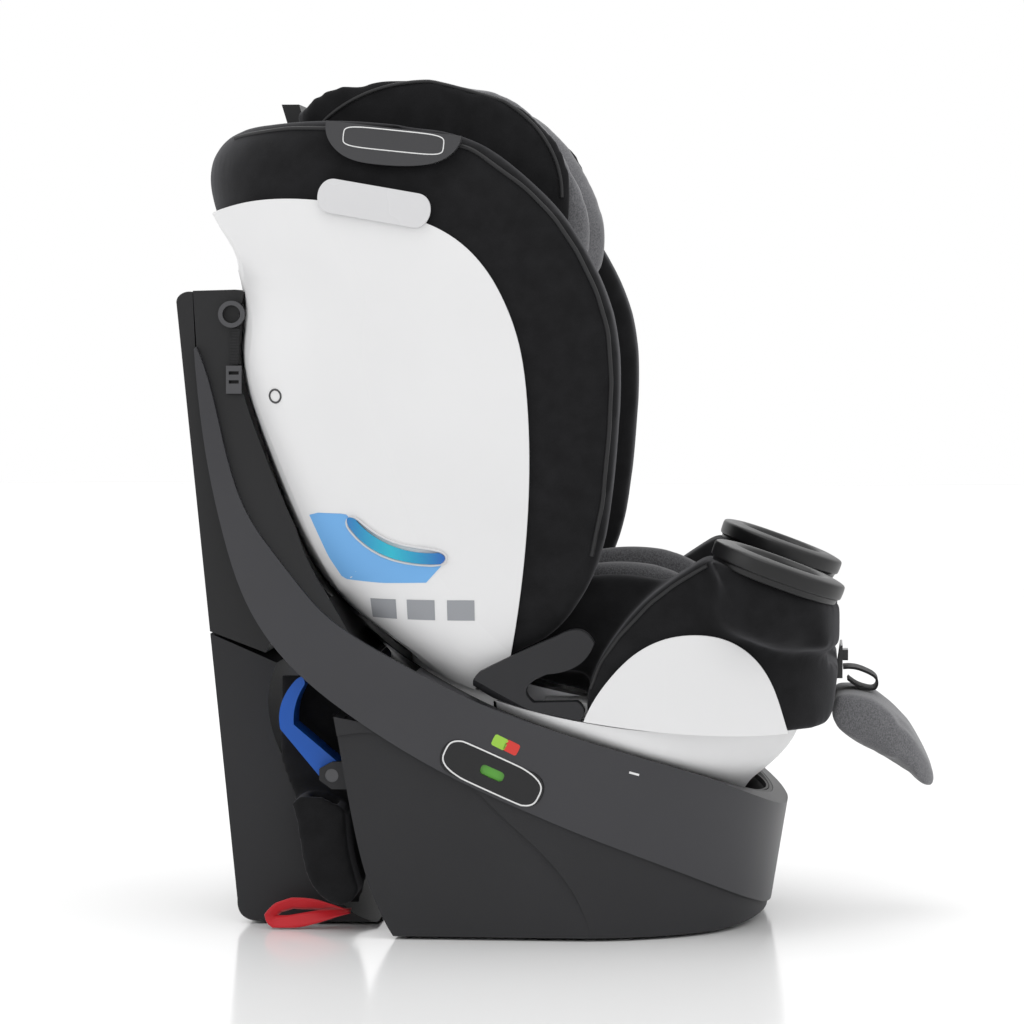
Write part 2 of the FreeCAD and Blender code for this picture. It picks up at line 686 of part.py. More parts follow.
def carriage_form(inset):
    """The flared pot of the carriage: round at the turntable, squarer at the top."""
    wires = []
    wide = size("carriage_radius")
    low = PLATE_TOP + GAP - 3 * inset
    for along, reach, side, power in ((low, 151, 151, 2.0), (167, 160, 162, 2.05),
                                      (184, 164, 171, 2.2), (199, 169, wide - 5, 2.5),
                                      (227, 184, wide, 2.6), (262, 190 + inset, wide + inset, 2.6),
                                      (290, 192 + 2 * inset, wide + 2 * inset, 2.6)):
        points = []
        for i in range(32):
            turn = 2 * math.pi * i / 32
            c, s = math.cos(turn), math.sin(turn)
            points.append(Vector(math.copysign(abs(c) ** (2 / power), c) * (reach - inset),
                                 math.copysign(abs(s) ** (2 / power), s) * (side - inset),
                                 along))
        curve = Part.BSplineCurve()
        curve.interpolate(points, PeriodicFlag=True)
        wires.append(Part.Wire(curve.toShape()))
    form = Part.makeLoft(wires, True, False)
    form.Placement = TILT
    return form


def make_carriage():
    """The white carriage shell: a pot on the turntable whose deck is part of the recline arc."""
    deck = size("recline_radius") + 1
    behind = axis_turned([(172, 100), (172, 260)], False)
    reach = behind.fuse(side_plate([(0, 60), (400, 60), (400, 400), (0, 400)], -300, 300))
    outer = carriage_form(0).cut(recline_drum(deck)).common(reach)
    wall = size("carriage_wall")
    inner = carriage_form(wall).cut(recline_drum(deck + wall))
    inner = inner.common(axis_turned([(172 - wall, 60), (172 - wall, 260)], False).fuse(
        side_plate([(-wall, 0), (400, 0), (400, 400), (-wall, 400)], -300, 300)))
    shell = outer.cut(inner)
    shaped("carriage_shell", solid_of(max(shell.Solids, key=lambda s: s.Volume)))


make_carriage()


def arc_bar(inner, outer, low_x, high_x, low_y, high_y):
    """A bar that follows the recline arc between two radii."""
    ring = recline_drum(outer, 200).cut(recline_drum(inner, 210))
    window = Part.makeBox(high_x - low_x, high_y - low_y, 400, Vector(low_x, low_y, 0))
    return ring.common(window)


def make_rails():
    """Two arc rails on the carriage deck, and the seat's runners that hook round them."""
    deck, half, high, y = (size(n) for n in ("recline_radius", "rail_half", "rail_high", "rail_y"))
    rails, runners = [], []
    for side in (-1, 1):
        low, top = side * y - half, side * y + half
        rails.append(arc_bar(deck - high, deck + 1 - 0.2, -20, 215, low, top))
        runners.append(arc_bar(deck - high - 4.5, deck - high - 0.4, -14, 150, low - 5, top + 5))
        for edge in (low - 5, top + 1):
            runners.append(arc_bar(deck - high - 1, deck, -14, 150, edge, edge + 4))
    shaped("recline_rails", Part.makeCompound(rails))
    solid = runners[0].fuse(runners[1]).fuse(runners[2])
    other = runners[3].fuse(runners[4]).fuse(runners[5])
    shaped("recline_runners", Part.makeCompound([solid_of(solid), solid_of(other)]))


make_rails()

# ---------------------------------------------------------------- seat back

BACK_LINE = [(165, -31, 0.81), (190, -50, 0.82), (215, -71, 0.85), (240, -103, 0.87),
             (290, -154, 0.92), (332, -186, 0.95), (397, -213, 0.985), (460, -234, 1.0),
             (515, -245, 1.0), (545, -243, 1.0), (575, -244, 1.0), (605, -261, 0.995),
             (635, -269, 0.985), (675, -277, 0.96), (705, -263, 0.93), (722, -236, 0.90),
             (745, -215, 0.88)]


def back_form(inset, front=160.0):
    """The seat back's outer form as a D-shaped loft, shrunk by inset. Callers trim its ends."""
    half, depth, power = size("seat_half"), size("corner_depth"), 2.6
    wires = []
    for z, rear, share in BACK_LINE:
        width = half * share - inset
        centre = rear + inset + depth
        points = []
        for i in range(13):
            turn = math.radians(-90 + 15 * i)
            back = abs(math.cos(turn)) ** (2 / power) if i not in (0, 12) else 0.0
            across = math.copysign(abs(math.sin(turn)) ** (2 / power), turn) if i != 6 else 0.0
            points.append(Vector(centre - depth * back, width * across, sz(z)))
        curve = Part.BSplineCurve()
        curve.interpolate(points)
        left, right = Vector(front, width, sz(z)), Vector(front, -width, sz(z))
        wires.append(Part.Wire([curve.toShape(), Part.makeLine(points[-1], left),
                                Part.makeLine(left, right), Part.makeLine(right, points[0])]))
    return Part.makeLoft(wires, True, False)


def lean_x(z, at_hip):
    """A line that leans back with the seat, given by its x at z = 290."""
    return at_hip - math.tan(math.radians(size("back_lean"))) * (sz(z) - sz(290))


seat_sweep = axis_turned(ENVELOPE + [(472, 486), (476, 760)], True)
seat_drum = recline_drum(size("recline_radius"))
outer_back = back_form(0)
padded_back = back_form(size("shell_wall") + GAP)


def make_back_shell():
    """The white outer shell of the seat back."""
    edge = [(-300, sz(641)), (-262, sz(640)), (-219, sz(647)), (-155, sz(648)), (-90, sz(637)),
            (-57, sz(627)), (-32, sz(613)), (-8, sz(589)), (8, sz(562)), (21, sz(527)),
            (29, sz(475)), (31, sz(420)), (27, sz(345)), (21, sz(296)), (13, sz(250))]
    tail = [edge[-1], (-14, 232), (-20, 219), (-24, 188)]
    runs = [edge, [tail[0], tail[1]], [tail[1], tail[2]], [tail[2], tail[3]],
            [tail[3], (-310, 188)], [(-310, 188), edge[0]]]
    shell = outer_back.cut(back_form(size("shell_wall"), 200.0))
    shell = shell.common(side_slab(runs, -300, 300)).common(low_sweep).cut(recline_drum_cut)
    shaped("back_shell", solid_of(max(shell.Solids, key=lambda s: s.Volume)))


low_sweep = axis_turned([(150, 60), (165, 170), (172, 188), (189, 197), (206, 205), (247, 222),
                         (292, 250), (339, 302), (380, 354), (409, 402), (420, 440), (487, 520),
                         (520, 900)])
recline_drum_cut = Part.makeBox(1200, 800, 900, Vector(-600, -400, -200)).cut(
    recline_drum(size("recline_radius"), 420))
make_back_shell()

WELL_HALF = size("head_half") + 6


def well_slot(half, at_hip, low, high):
    """The room inside the seat back: a slot that leans with the back and opens forward."""
    corner = 42
    x0 = at_hip
    plan = [(x0 + corner, -half), (x0 + 12, -half + 12), (x0, -half + corner)]
    runs = [[(300, -half), plan[0]], plan, [plan[2], (x0, half - corner)],
            [(x0, half - corner), (x0 + 12, half - 12), (x0 + corner, half)],
            [(x0 + corner, half), (300, half)]]
    shift = lean_x(low, 0)
    face = face_of(runs, lambda x, y: Vector(x + shift, y, sz(low)))
    return face.extrude(Vector(lean_x(high, 0) - lean_x(low, 0), 0, sz(high) - sz(low)))


BACK_AT_HIP = -145 + size("back_thick")


def wing_outline():
    """The side view of the padded seat back."""
    front = [(-120, sz(718)), (-60, sz(711)), (-19, sz(700)), (29, sz(666)), (56, sz(639)),
             (76, sz(610)), (94, sz(575)), (105, sz(540)), (109, sz(495)), (107, sz(445)),
             (101, sz(384)), (90, sz(332)), (71, sz(294)), (56, sz(275)), (24, sz(255))]
    rear = [(-30, 188), (-300, 188), (-300, sz(690))]
    top = [(-276, sz(690)), (-262, sz(705)), (-236, sz(713)), (-184, sz(719)), front[0]]
    return [front, [front[-1], (-12, 236)], [(-12, 236), rear[0]], [rear[0], rear[1]],
            [rear[1], rear[2]], [rear[2], top[0]], top]


def make_back_cover_soft():
    """The padded black bucket of the seat back with its side wings."""
    soft = padded_back.common(side_slab(wing_outline(), -300, 300)).common(low_sweep_in)
    soft = soft.cut(recline_drum_cut)
    soft = soft.cut(well_slot(WELL_HALF, BACK_AT_HIP, 236, 900))
    soft = soft.cut(Part.makeBox(400, 2 * WELL_HALF, 60, Vector(-118, -WELL_HALF, 180)))
    for side in (-1, 1):
        soft = soft.cut(grip_pocket(side))
    soft = cut_bucket(soft)
    deck, half, y = size("recline_radius"), size("rail_half"), size("rail_y")
    for side in (-1, 1):
        soft = soft.cut(arc_bar(deck - size("rail_high") - 6, deck + 2, -160, 320,
                                side * y - half - 7, side * y + half + 7))
    shaped("back_bucket", solid_of(max(soft.Solids, key=lambda s: s.Volume)))


low_sweep_in = axis_turned([(144, 60), (159, 170), (166, 188), (183, 197), (200, 205), (241, 222),
                            (286, 250), (333, 302), (374, 354), (403, 402), (415, 440), (483, 520),
                            (520, 900)])


# ---------------------------------------------------------------- rotation release grips


def grip_runs(grow, lift):
    """The grip's side view, grown by grow, its top raised by lift."""
    long = size("grip_long")
    rear, front = -146, -146 + long
    low = [(rear - grow, sz(717)), (rear - grow + 2, sz(700)), (rear + 14, sz(687) - grow),
           (rear + 42, sz(679) - grow), (rear + 76, sz(677.5) - grow), (front - 18, sz(682) - grow),
           (front + grow - 4, sz(693)), (front + grow, sz(703))]
    high = [(low[-1][0], low[-1][1] + lift), (low[0][0], low[0][1] + lift)]
    if lift == 0:
        return [low, [low[-1], low[0]]]
    return [low, [low[-1], high[0]], high, [high[-1], low[0]]]


def grip_y(side):
    """The grip's inner and outer faces."""
    outer = size("seat_half") * 0.95 + 6
    inner = outer - size("grip_thick")
    return (inner, outer) if side > 0 else (-outer, -inner)


def grip_pocket(side):
    """The room in the wing that a grip slides in."""
    low_y, high_y = grip_y(side)
    if side > 0:
        return side_slab(grip_runs(1.5, 60), low_y - 1.5, high_y + 30)
    return side_slab(grip_runs(1.5, 60), low_y - 30, high_y + 1.5)


def make_grips():
    """The two grips that are lifted to turn the seat."""
    for side, label in ((-1, "rotate_grip_right"), (1, "rotate_grip_left")):
        low_y, high_y = grip_y(side)
        grip = side_slab(grip_runs(0, 0), low_y, high_y)
        shaped(label, grip)


make_grips()

# ---------------------------------------------------------------- seat pan

PAN_TOP = [(80, 214), (88, 240), (104, 267), (132, 300), (155, 318), (186, 338)]
CUP_LINE = [(186, 338), (304, 295)]
PAN_FRONT = [(304, 295), (305, 272), (301, 240), (297, 208), (292, 188), (283, 178)]


def pan_plan(inset):
    """The pan's plan outline: a rounded front and straight sides."""
    half = size("pan_half") - inset
    return rounded_plan(150, size("pan_front") - 150 - inset, half, 3.2, 150, 420, -200)


def make_pan_shell():
    """The white lower shell of the seat pan, seen as an arch on each side."""
    arch = [(74, 180), (84, 207), (102, 233), (124, 254), (148, 266), (178, 270), (204, 265),
            (226, 250), (241, 228), (251, 200), (257, 180)]
    slab = side_slab([arch, [arch[-1], arch[0]]], -300, 300)
    wall = size("shell_wall")
    outer = slab.common(pan_plan(-wall)).cut(pan_plan(-GAP)).common(seat_drum)
    deck = size("recline_radius")
    block = side_plate([(40, 150), (262, 150), (262, 208), (40, 208)], -300, 300).common(seat_drum)
    plate_outer = block.common(pan_plan(14)).cut(recline_drum(deck - 19))
    lip = side_plate([(90, 150), (250, 150), (250, 208), (90, 208)], -300, 300).common(seat_drum)
    lip = lip.common(pan_plan(-wall)).cut(recline_drum(deck - 3))
    plate_outer = plate_outer.fuse(lip)
    for side in (-1, 1):
        y = side * size("rail_y")
        trench = Part.makeBox(400, 2 * size("rail_half") + 14, 400,
                              Vector(-100, y - size("rail_half") - 7, 0))
        plate_outer = plate_outer.cut(trench.common(
            Part.makeBox(400, 400, 400, Vector(-100, -200, 0)).cut(
                recline_drum(size("recline_radius") - 14))))
    for side in (-1, 1):
        low = 176 if side > 0 else -260
        plate_outer = plate_outer.cut(Part.makeBox(54, 84, 90, Vector(30, low, 130)))
    shell = outer.fuse(plate_outer)
    shaped("pan_shell", solid_of(shell))


def seat_well(raise_by):
    """The room above the seating foam, between the pan's side walls."""
    low = size("pan_floor") + raise_by
    half = size("pan_well")
    floor = [(-110, low + 7), (0, low + 4), (200, low - 2), (270, low - 4)]
    runs = [floor, [floor[-1], (320, low - 16)], [(320, low - 16), (320, 420)],
            [(320, 420), (-110, 420)], [(-110, 420), floor[0]]]
    return side_slab(runs, -half, half)


def cup_pod(side):
    """The bulge of the padded pan that carries a cup holder."""
    outer = size("cup_y") + size("cup_radius") + size("cup_wall") + 7
    profile = [(140, 345), (outer - 4, 345), (outer, 318), (outer - 3, 296), (size("pan_half"), 258),
               (140, 250)]
    corners = [Vector(170, side * y, z) for y, z in profile]
    wedge = Part.Face(Part.makePolygon(corners + corners[:1])).extrude(Vector(150, 0, 0))
    lean = side_plate([(186, 338), (304, 295), (305, 262), (270, 240), (224, 270)], -300, 300)
    plan = rounded_plan(size("cup_x"), size("pan_front") - size("cup_x"), outer + 2, 3.2, 150, 420, 120)
    return wedge.common(lean).common(plan)


def hip_wall(side):
    """The padded wall beside the hips, between the seat back's wing and the pan's side."""
    inner = size("pan_well")
    low_y, high_y = (inner, WELL_HALF - 2) if side > 0 else (2 - WELL_HALF, -inner)
    top = [(-24, 262), (10, 294), (60, 315), (104, 320), (143, 315), (176, 302)]
    return side_slab([top, [top[-1], (176, 230)], [(176, 230), (-24, 236)], [(-24, 236), top[0]]],
                     low_y, high_y)


def make_pan_cover():
    """The padded black pan: side walls, front and seating foam in one block."""
    deck = size("recline_radius")
    runs = [PAN_TOP, CUP_LINE, PAN_FRONT, [PAN_FRONT[-1], (80, 160)], [(80, 160), PAN_TOP[0]]]
    block = side_slab(runs, -300, 300).common(pan_plan(0)).common(seat_drum)
    keep_out = side_plate([(0, 100), (262.4, 100), (262.4, 208.4), (0, 208.4)], -300, 300)
    lip_room = side_plate([(0, 100), (250.4, 100), (250.4, 208.4), (0, 208.4)], -300, 300)
    lip_room = lip_room.cut(recline_drum(deck - 3.4))
    block = block.cut(keep_out.common(pan_plan(14 - GAP))).cut(lip_room)
    block = block.fuse(cup_pod(-1)).fuse(cup_pod(1)).fuse(hip_wall(-1)).fuse(hip_wall(1))
    half = size("pan_well")
    base = side_plate([(100, 208.4), (100, 262), (-100, 262), (-100, 180), (-10, 180)], -half, half)
    base = base.common(well_slot(WELL_HALF - 2, BACK_AT_HIP + 2, 180, 400))
    base = base.common(recline_drum(size("recline_radius") - 19.5))
    base = max(base.Solids, key=lambda s: s.Volume)
    cover = block.fuse(base).cut(seat_well(0))
    for side in (-1, 1):
        cover = cover.cut(cup_room(side))
    cover = cover.cut(side_plate([(267, 170), (310, 170), (310, 198), (267, 198)], -60, 60))
    shaped("pan_cover", solid_of(max(cover.Solids, key=lambda s: s.Volume)))


CUP_AT = Vector(size("cup_x"), size("cup_y"), size("cup_z"))


def cup_frame(side):
    """The cup holder's own frame, at the centre of its rim's top."""
    return Placement(Vector(CUP_AT.x, side * CUP_AT.y, CUP_AT.z), Rotation(ACROSS, size("axis_tilt")))


def cup_room(side):
    """The socket in the pan that a cup holder drops into."""
    radius = size("cup_radius") + size("cup_wall") + 1
    room = Part.makeCylinder(radius, size("cup_deep") + 3 - 4, Vector(0, 0, -size("cup_deep") - 3))
    room = room.fuse(Part.makeCylinder(size("cup_rim") + 2, 80, Vector(0, 0, -size("cup_rim_high") - 1)))
    room.Placement = cup_frame(side)
    return room


def make_cup_holders():
    """The two lift-out cup holders, each turned in one piece."""
    for side, label in ((-1, "cup_holder_right"), (1, "cup_holder_left")):
        r, wall, deep = "sizes.cup_radius", "sizes.cup_wall", "sizes.cup_deep"
        body = turned_body(label, [
            ("0", f"-{deep}"),
            (f"{r} - 5 + {wall}", f"-{deep}"),
            (f"{r} + {wall}", "-sizes.cup_rim_high"),
            ("sizes.cup_rim - 3", "-sizes.cup_rim_high"),
            ("sizes.cup_rim", "-sizes.cup_rim_high + 3"),
            ("sizes.cup_rim", "-sizes.cup_rim_high * 0.55"),
            ("sizes.cup_rim - 5", "-1"),
            ("sizes.cup_rim - 7", "0"),
            (f"{r} + 1", "0"),
            (r, "-1"),
            (f"{r} - 5", f"-{deep} + {wall}"),
            ("0", f"-{deep} + {wall}"),
        ])
        body.Placement = cup_frame(side)


make_pan_shell()
make_pan_cover()
make_cup_holders()



# ---------------------------------------------------------------- base: bar, levers, badges

BAR_X = bx(-147)
BAR_Z = 141


def lever_shape(side):
    """A blue lock-off lever: a bent arm with an eye that turns on the belt bar."""
    half = size("tower_half")
    low_y, high_y = (half + 7, half + 44) if side > 0 else (-half - 44, -half - 7)
    outer = [[(BAR_X - 6, BAR_Z - 9), (BAR_X - 47, BAR_Z + 40)],
             [(BAR_X - 47, BAR_Z + 40), (BAR_X - 48, BAR_Z + 48), (BAR_X - 33, BAR_Z + 84)],
             [(BAR_X - 33, BAR_Z + 84), (BAR_X - 27, BAR_Z + 86), (BAR_X - 25, BAR_Z + 80)],
             [(BAR_X - 25, BAR_Z + 80), (BAR_X - 35, BAR_Z + 52), (BAR_X - 35, BAR_Z + 44)],
             [(BAR_X - 35, BAR_Z + 44), (BAR_X + 8, BAR_Z + 8)],
             [(BAR_X + 8, BAR_Z + 8), (BAR_X - 6, BAR_Z - 9)]]
    arm = side_slab(outer, low_y, high_y)
    radius = size("tube_bar")
    eye = Part.makeCylinder(radius + 5, high_y - low_y, Vector(BAR_X, low_y, BAR_Z), ACROSS)
    bore = Part.makeCylinder(radius + size("run_gap"), 60, Vector(BAR_X, low_y - 5, BAR_Z), ACROSS)
    return solid_of(arm.fuse(eye).cut(bore))


def badge_prism(grow, low_y, high_y, long, high, round_by):
    """An oblong on the side of the base, tilted like the band, grown by grow."""
    a, b, c = long / 2 + grow, high / 2 + grow, round_by
    plan = [[(-a + c, -b), (a - c, -b)], [(a - c, -b), (a - 0.3 * c, -b + 0.3 * c), (a, -b + c)],
            [(a, -b + c), (a, b - c)], [(a, b - c), (a - 0.3 * c, b - 0.3 * c), (a - c, b)],
            [(a - c, b), (-a + c, b)], [(-a + c, b), (-a + 0.3 * c, b - 0.3 * c), (-a, b - c)],
            [(-a, b - c), (-a, -b + c)],
            [(-a, -b + c), (-a + 0.3 * c, -b + 0.3 * c), (-a + c, -b)]]
    if b - c < 0.01:
        plan = [run for i, run in enumerate(plan) if i not in (2, 6)]
    solid = side_slab(plan, low_y, high_y)
    solid.rotate(Vector(0, 0, 0), ACROSS, 24)
    solid.translate(Vector(bx(-2), 0, 148))
    return solid.transformGeometry(FreeCAD.Matrix())


def make_status():
    """The two lock status plates with a window each, and the sliding flags behind them."""
    long, high, thick = size("badge_long"), size("badge_high"), size("badge_thick")
    w_long, w_high = size("window_long"), size("window_high")
    face = -HALF - 1
    plate_right = badge_prism(0, face, face + thick, long, high, high / 2 - 1)
    plate_right = plate_right.cut(badge_prism(0, face - 5, face + 9, w_long, w_high, 3.4))
    shaped("status_plates", Part.makeCompound([solid_of(plate_right),
                                               mirrored(solid_of(plate_right))]))
    flag = badge_prism(0, face + thick + 0.4, face + thick + 2.4, w_long * 2 + 2, w_high + 2, 1)
    slide = Rotation(ACROSS, 24).multVec(Vector(-w_long / 2, 0, 0))
    flag.translate(slide)
    flag = flag.transformGeometry(FreeCAD.Matrix())
    shaped("status_flags", Part.makeCompound([flag, mirrored(flag)]))


def status_hole():
    """What the status plate and its flag need from the band and the housing."""
    long, high, thick = size("badge_long"), size("badge_high"), size("badge_thick")
    face = -HALF - 1
    seat = badge_prism(GAP, face - 5, face + thick + GAP, long, high, high / 2 - 1)
    slot = badge_prism(0, face, face + 18, size("window_long") * 3 + 8, size("window_high") + 3, 1)
    hole = seat.fuse(slot)
    return hole.fuse(mirrored(hole))


def make_pouch():
    """The fabric pouch in the belt slot that holds the anchor connectors."""
    half = size("tower_half")
    outline = [[(bx(-136), 108), (bx(-150), 118), (bx(-172), 122), (bx(-184), 114)],
               [(bx(-184), 114), (bx(-175), 70), (bx(-162), 36), (bx(-142), 24), (bx(-124), 38)],
               [(bx(-124), 38), (bx(-134), 78), (bx(-136), 108)]]
    pouch = side_slab(outline, -half - 46, -half - 10)
    room = side_plate([(bx(-144), 60), (bx(-166), 60), (bx(-172), 130), (bx(-144), 130)],
                      -half - 42, -half - 14)
    panel = side_plate([(bx(-200), 150), (bx(-198), 226), (bx(-150), 226), (bx(-128), 196),
                        (bx(-124), 160), (bx(-118), 60), (bx(-128), 20), (bx(-146), 20),
                        (bx(-172), 60), (bx(-186), 112)], -half - 5, -half - 1.2)
    bar_room = Part.makeCylinder(size("tube_bar") + 1, 20, Vector(BAR_X, -half - 12, BAR_Z), ACROSS)
    web = side_plate([(bx(-150), 40), (bx(-172), 116), (bx(-136), 104), (bx(-130), 45)],
                     -half - 12, -half - 3)
    pouch = pouch.cut(room).fuse(web).fuse(panel).cut(bar_room)
    for near in ("base_housing", "tall_back"):
        pouch = pouch.cut(doc.getObject(near).Shape)
    shaped("anchor_pouch", max(pouch.Solids, key=lambda s: s.Volume))


def ribbon(path, thick, low_y, high_y):
    """A flat ribbon: a side-view path thickened to one side and swept across."""
    shifted = []
    for i, (x, z) in enumerate(path):
        (ax, az), (cx, cz) = path[max(0, i - 1)], path[min(len(path) - 1, i + 1)]
        run = math.hypot(cx - ax, cz - az)
        shifted.append((x - (cz - az) / run * thick, z + (cx - ax) / run * thick))
    back = list(reversed(shifted))
    return side_slab([path, [path[-1], back[0]], back, [back[-1], path[0]]], low_y, high_y)


def make_red_loop():
    """The red pull strap, a ribbon loop at the foot of the belt slot."""
    half = size("tower_half")
    path = [(bx(-136), 13), (bx(-160), 21), (bx(-184), 25), (bx(-203), 20), (bx(-209), 12),
            (bx(-203), 5), (bx(-192), 2.5), (bx(-178), 4), (bx(-160), 9.5), (bx(-138), 11)]
    shaped("red_pull_strap", ribbon(path, -1.6, -half - 30, -half - 14))


def make_tether():
    """The top tether's webbing, its hook and its adjuster, stowed on the side of the tall back."""
    face = -size("tower_half") + GAP
    low, high = face - 8.7, face - 4
    place = Vector(bx(-242), 0, bz(549))
    ring = Part.makeCylinder(12, 4, Vector(place.x, low, place.z), ACROSS)
    ring = ring.cut(Part.makeCylinder(8, 9, Vector(place.x, low - 2, place.z), ACROSS))
    block = Part.makeBox(14, 4.4, 25, Vector(bx(-247), low, bz(478)))
    block = block.cut(Part.makeBox(9, 9, 3, Vector(bx(-247) + 2.5, low - 2, bz(478) + 17)))
    block = block.cut(Part.makeBox(9, 9, 3, Vector(bx(-247) + 2.5, low - 2, bz(478) + 9)))
    shaped("tether_hardware", Part.makeCompound([ring, block]))
    strap = side_plate([(bx(-244), bz(478) + 26), (bx(-236), bz(478) + 26), (bx(-235), bz(536)),
                        (bx(-243), bz(536))], high - 2, high)
    shaped("tether_strap", strap)


def bar_ears():
    """The housing's cheeks that carry the ends of the belt bar."""
    half, radius = size("tower_half"), size("tube_bar")
    ear = [(BAR_X + 36, BAR_Z - 12), (BAR_X, BAR_Z - 12), (BAR_X - 11, BAR_Z - 4),
           (BAR_X - 11, BAR_Z + 6), (BAR_X, BAR_Z + 12), (BAR_X + 36, BAR_Z + 14)]
    ears = None
    for side in (-1, 1):
        low = half + 46 if side > 0 else -half - 54
        cheek = side_plate(ear, low, low + 8)
        hole = Part.makeCylinder(radius + 0.02, 20, Vector(BAR_X, low - 5, BAR_Z), ACROSS)
        cheek = cheek.cut(hole)
        ears = cheek if ears is None else ears.fuse(cheek)
    return ears


make_rim_band()
make_housing()
bar("belt_bar", BAR_X, BAR_Z, size("tower_half") + 53)
shaped("lockoff_lever_right", lever_shape(-1))
shaped("lockoff_lever_left", lever_shape(1))
make_status()
make_pouch()
make_red_loop()
make_tether()

# ---------------------------------------------------------------- seat trim


def belt_trim():
    """The U-shaped guide of the hip belt opening, on the right side."""
    outer = [[(-18, 213), (-20, 226), (-14, 236)], [(-14, 236), (20, 253), (54, 268)],
             [(54, 268), (80, 271), (87, 262)], [(87, 262), (84, 255), (46, 235)],
             [(46, 235), (28, 217), (34, 210)], [(34, 210), (72, 211)],
             [(72, 211), (78, 204), (74, 193)], [(74, 193), (62, 187), (-3, 206)],
             [(-3, 206), (-18, 213)]]
    half = size("seat_half")
    return side_slab(outer, -half + 10.5, -half + 29)


def surface_patch(outline, proud, sunk):
    """A thin piece that lies on the back shell's curved side, on both sides."""
    skin = back_form(-proud).cut(back_form(sunk, 200.0))
    piece = skin.common(side_slab(outline, -260, 0))
    piece = solid_of(max(piece.Solids, key=lambda s: s.Volume))
    return Part.makeCompound([piece, mirrored(piece)])


def make_side_details():
    """The belt guides, the blank oval plates and the level vials of both sides."""
    trim = belt_trim().cut(low_sweep_out).cut(recline_drum_cut)
    trim = solid_of(max(trim.Solids, key=lambda s: s.Volume))
    guides = []
    for guide in (trim, mirrored(trim)):
        for near in ("back_shell", "pan_shell", "pan_cover"):
            guide = guide.cut(doc.getObject(near).Shape)
        guides.append(max(guide.Solids, key=lambda s: s.Volume))
    shaped("belt_guides", Part.makeCompound(guides))
    c, u = math.cos(math.radians(10)), math.sin(math.radians(10))

    def oval(a, b):
        x, z = -104 + a * c + b * u, sz(645) - a * u + b * c
        return (x, z)

    plate = [[oval(-36, -15), oval(36, -15)], [oval(36, -15), oval(48, -8), oval(48, 8), oval(36, 15)],
             [oval(36, 15), oval(-36, 15)], [oval(-36, 15), oval(-48, 8), oval(-48, -8), oval(-36, -15)]]
    shaped("side_plates", surface_patch(plate, 4.5, -GAP))
    vial = [[(-122, 370), (-108, 357), (-84, 345), (-48, 341)],
            [(-48, 341), (-43, 336), (-47, 331)],
            [(-47, 331), (-86, 335), (-112, 347), (-129, 365)],
            [(-129, 365), (-129, 371), (-122, 370)]]
    shaped("level_vials", surface_patch(vial, size("vial_proud"), -GAP))


low_sweep_out = Part.makeBox(900, 900, 420, Vector(-450, -450, 0)).cut(low_sweep)
make_side_details()

# ---------------------------------------------------------------- cushions


def at_back(z, off):
    """A point in front of the seat back's leaning face."""
    return (lean_x(z, BACK_AT_HIP) + off, sz(z))


def make_cushions():
    """The back cushion, the seat cushion and the two hip bolsters."""
    thick = size("cushion")
    half = WELL_HALF - 18
    face = [at_back(264, GAP), at_back(536, GAP), at_back(541, 8), at_back(534, thick),
            at_back(300, thick + 2), at_back(270, thick + 8)]
    back = side_plate(face, -half, half)
    shaped("back_cushion", solid_of(back.common(well_slot(WELL_HALF - 1, BACK_AT_HIP + GAP, 236, 900))))
    floor = size("pan_floor")
    top = [(-40, floor + 6 + thick), (60, floor + thick + 3), (160, floor + thick),
           (250, floor + thick - 2), (278, floor + thick - 12), (283, floor - 2)]
    under = [(283, floor - 20), (-40, floor - 20)]
    pad = side_slab([top, [top[-1], under[0]], under, [under[-1], top[0]]],
                    -size("pan_well") + 3, size("pan_well") - 3)
    pad = pad.common(seat_well(GAP))
    slot = Part.makeBox(8, 50, 90, Vector(86, -25, floor - 30))
    shaped("seat_cushion", solid_of(pad.cut(slot)))
    well = size("pan_well")
    roll = [(52, 318), (104, 329), (143, 324), (174, 309), (178, 296), (150, 284), (52, 286)]
    bolster = side_slab([roll[:4], [roll[3], roll[4]], [roll[4], roll[5]], [roll[5], roll[6]],
                         [roll[6], roll[0]]], -well + 3, -well + 25)
    shaped("hip_bolsters", Part.makeCompound([bolster, mirrored(bolster)]))


make_cushions()

# ---------------------------------------------------------------- harness


def strap_at(side):
    """The inner and outer edge of a shoulder strap."""
    half = size("strap_wide") / 2
    return side * 46 - half, side * 46 + half


def make_harness():
    """Shoulder straps with their pads and clip, the buckle on its crotch strap."""
    thick = size("strap_thick")
    path = [at_back(538, 18), at_back(525, 19), at_back(480, 19), at_back(400, 20),
            at_back(340, 24), at_back(305, 38), (-22, 296), (6, 287)]
    straps = [ribbon(path, thick, *strap_at(side)) for side in (-1, 1)]
    shaped("shoulder_straps", Part.makeCompound(straps))
    cover = [at_back(522, 22.6), at_back(480, 22.6), at_back(425, 23.2)]
    pads = [ribbon(cover, 9, strap_at(s)[0] - 6, strap_at(s)[1] + 6) for s in (-1, 1)]
    shaped("harness_pads", Part.makeCompound(pads))
    clip = side_plate([at_back(404, 23.2), at_back(380, 24.2), at_back(380, 36), at_back(404, 35)],
                      -58, 58)
    shaped("chest_clip", clip.cut(side_plate([at_back(398, 22), at_back(386, 22), at_back(386, 37),
                                              at_back(398, 37)], -14, 14)))


BUCKLE = Placement(Vector(38, 0, 284), Rotation(ACROSS, 22))


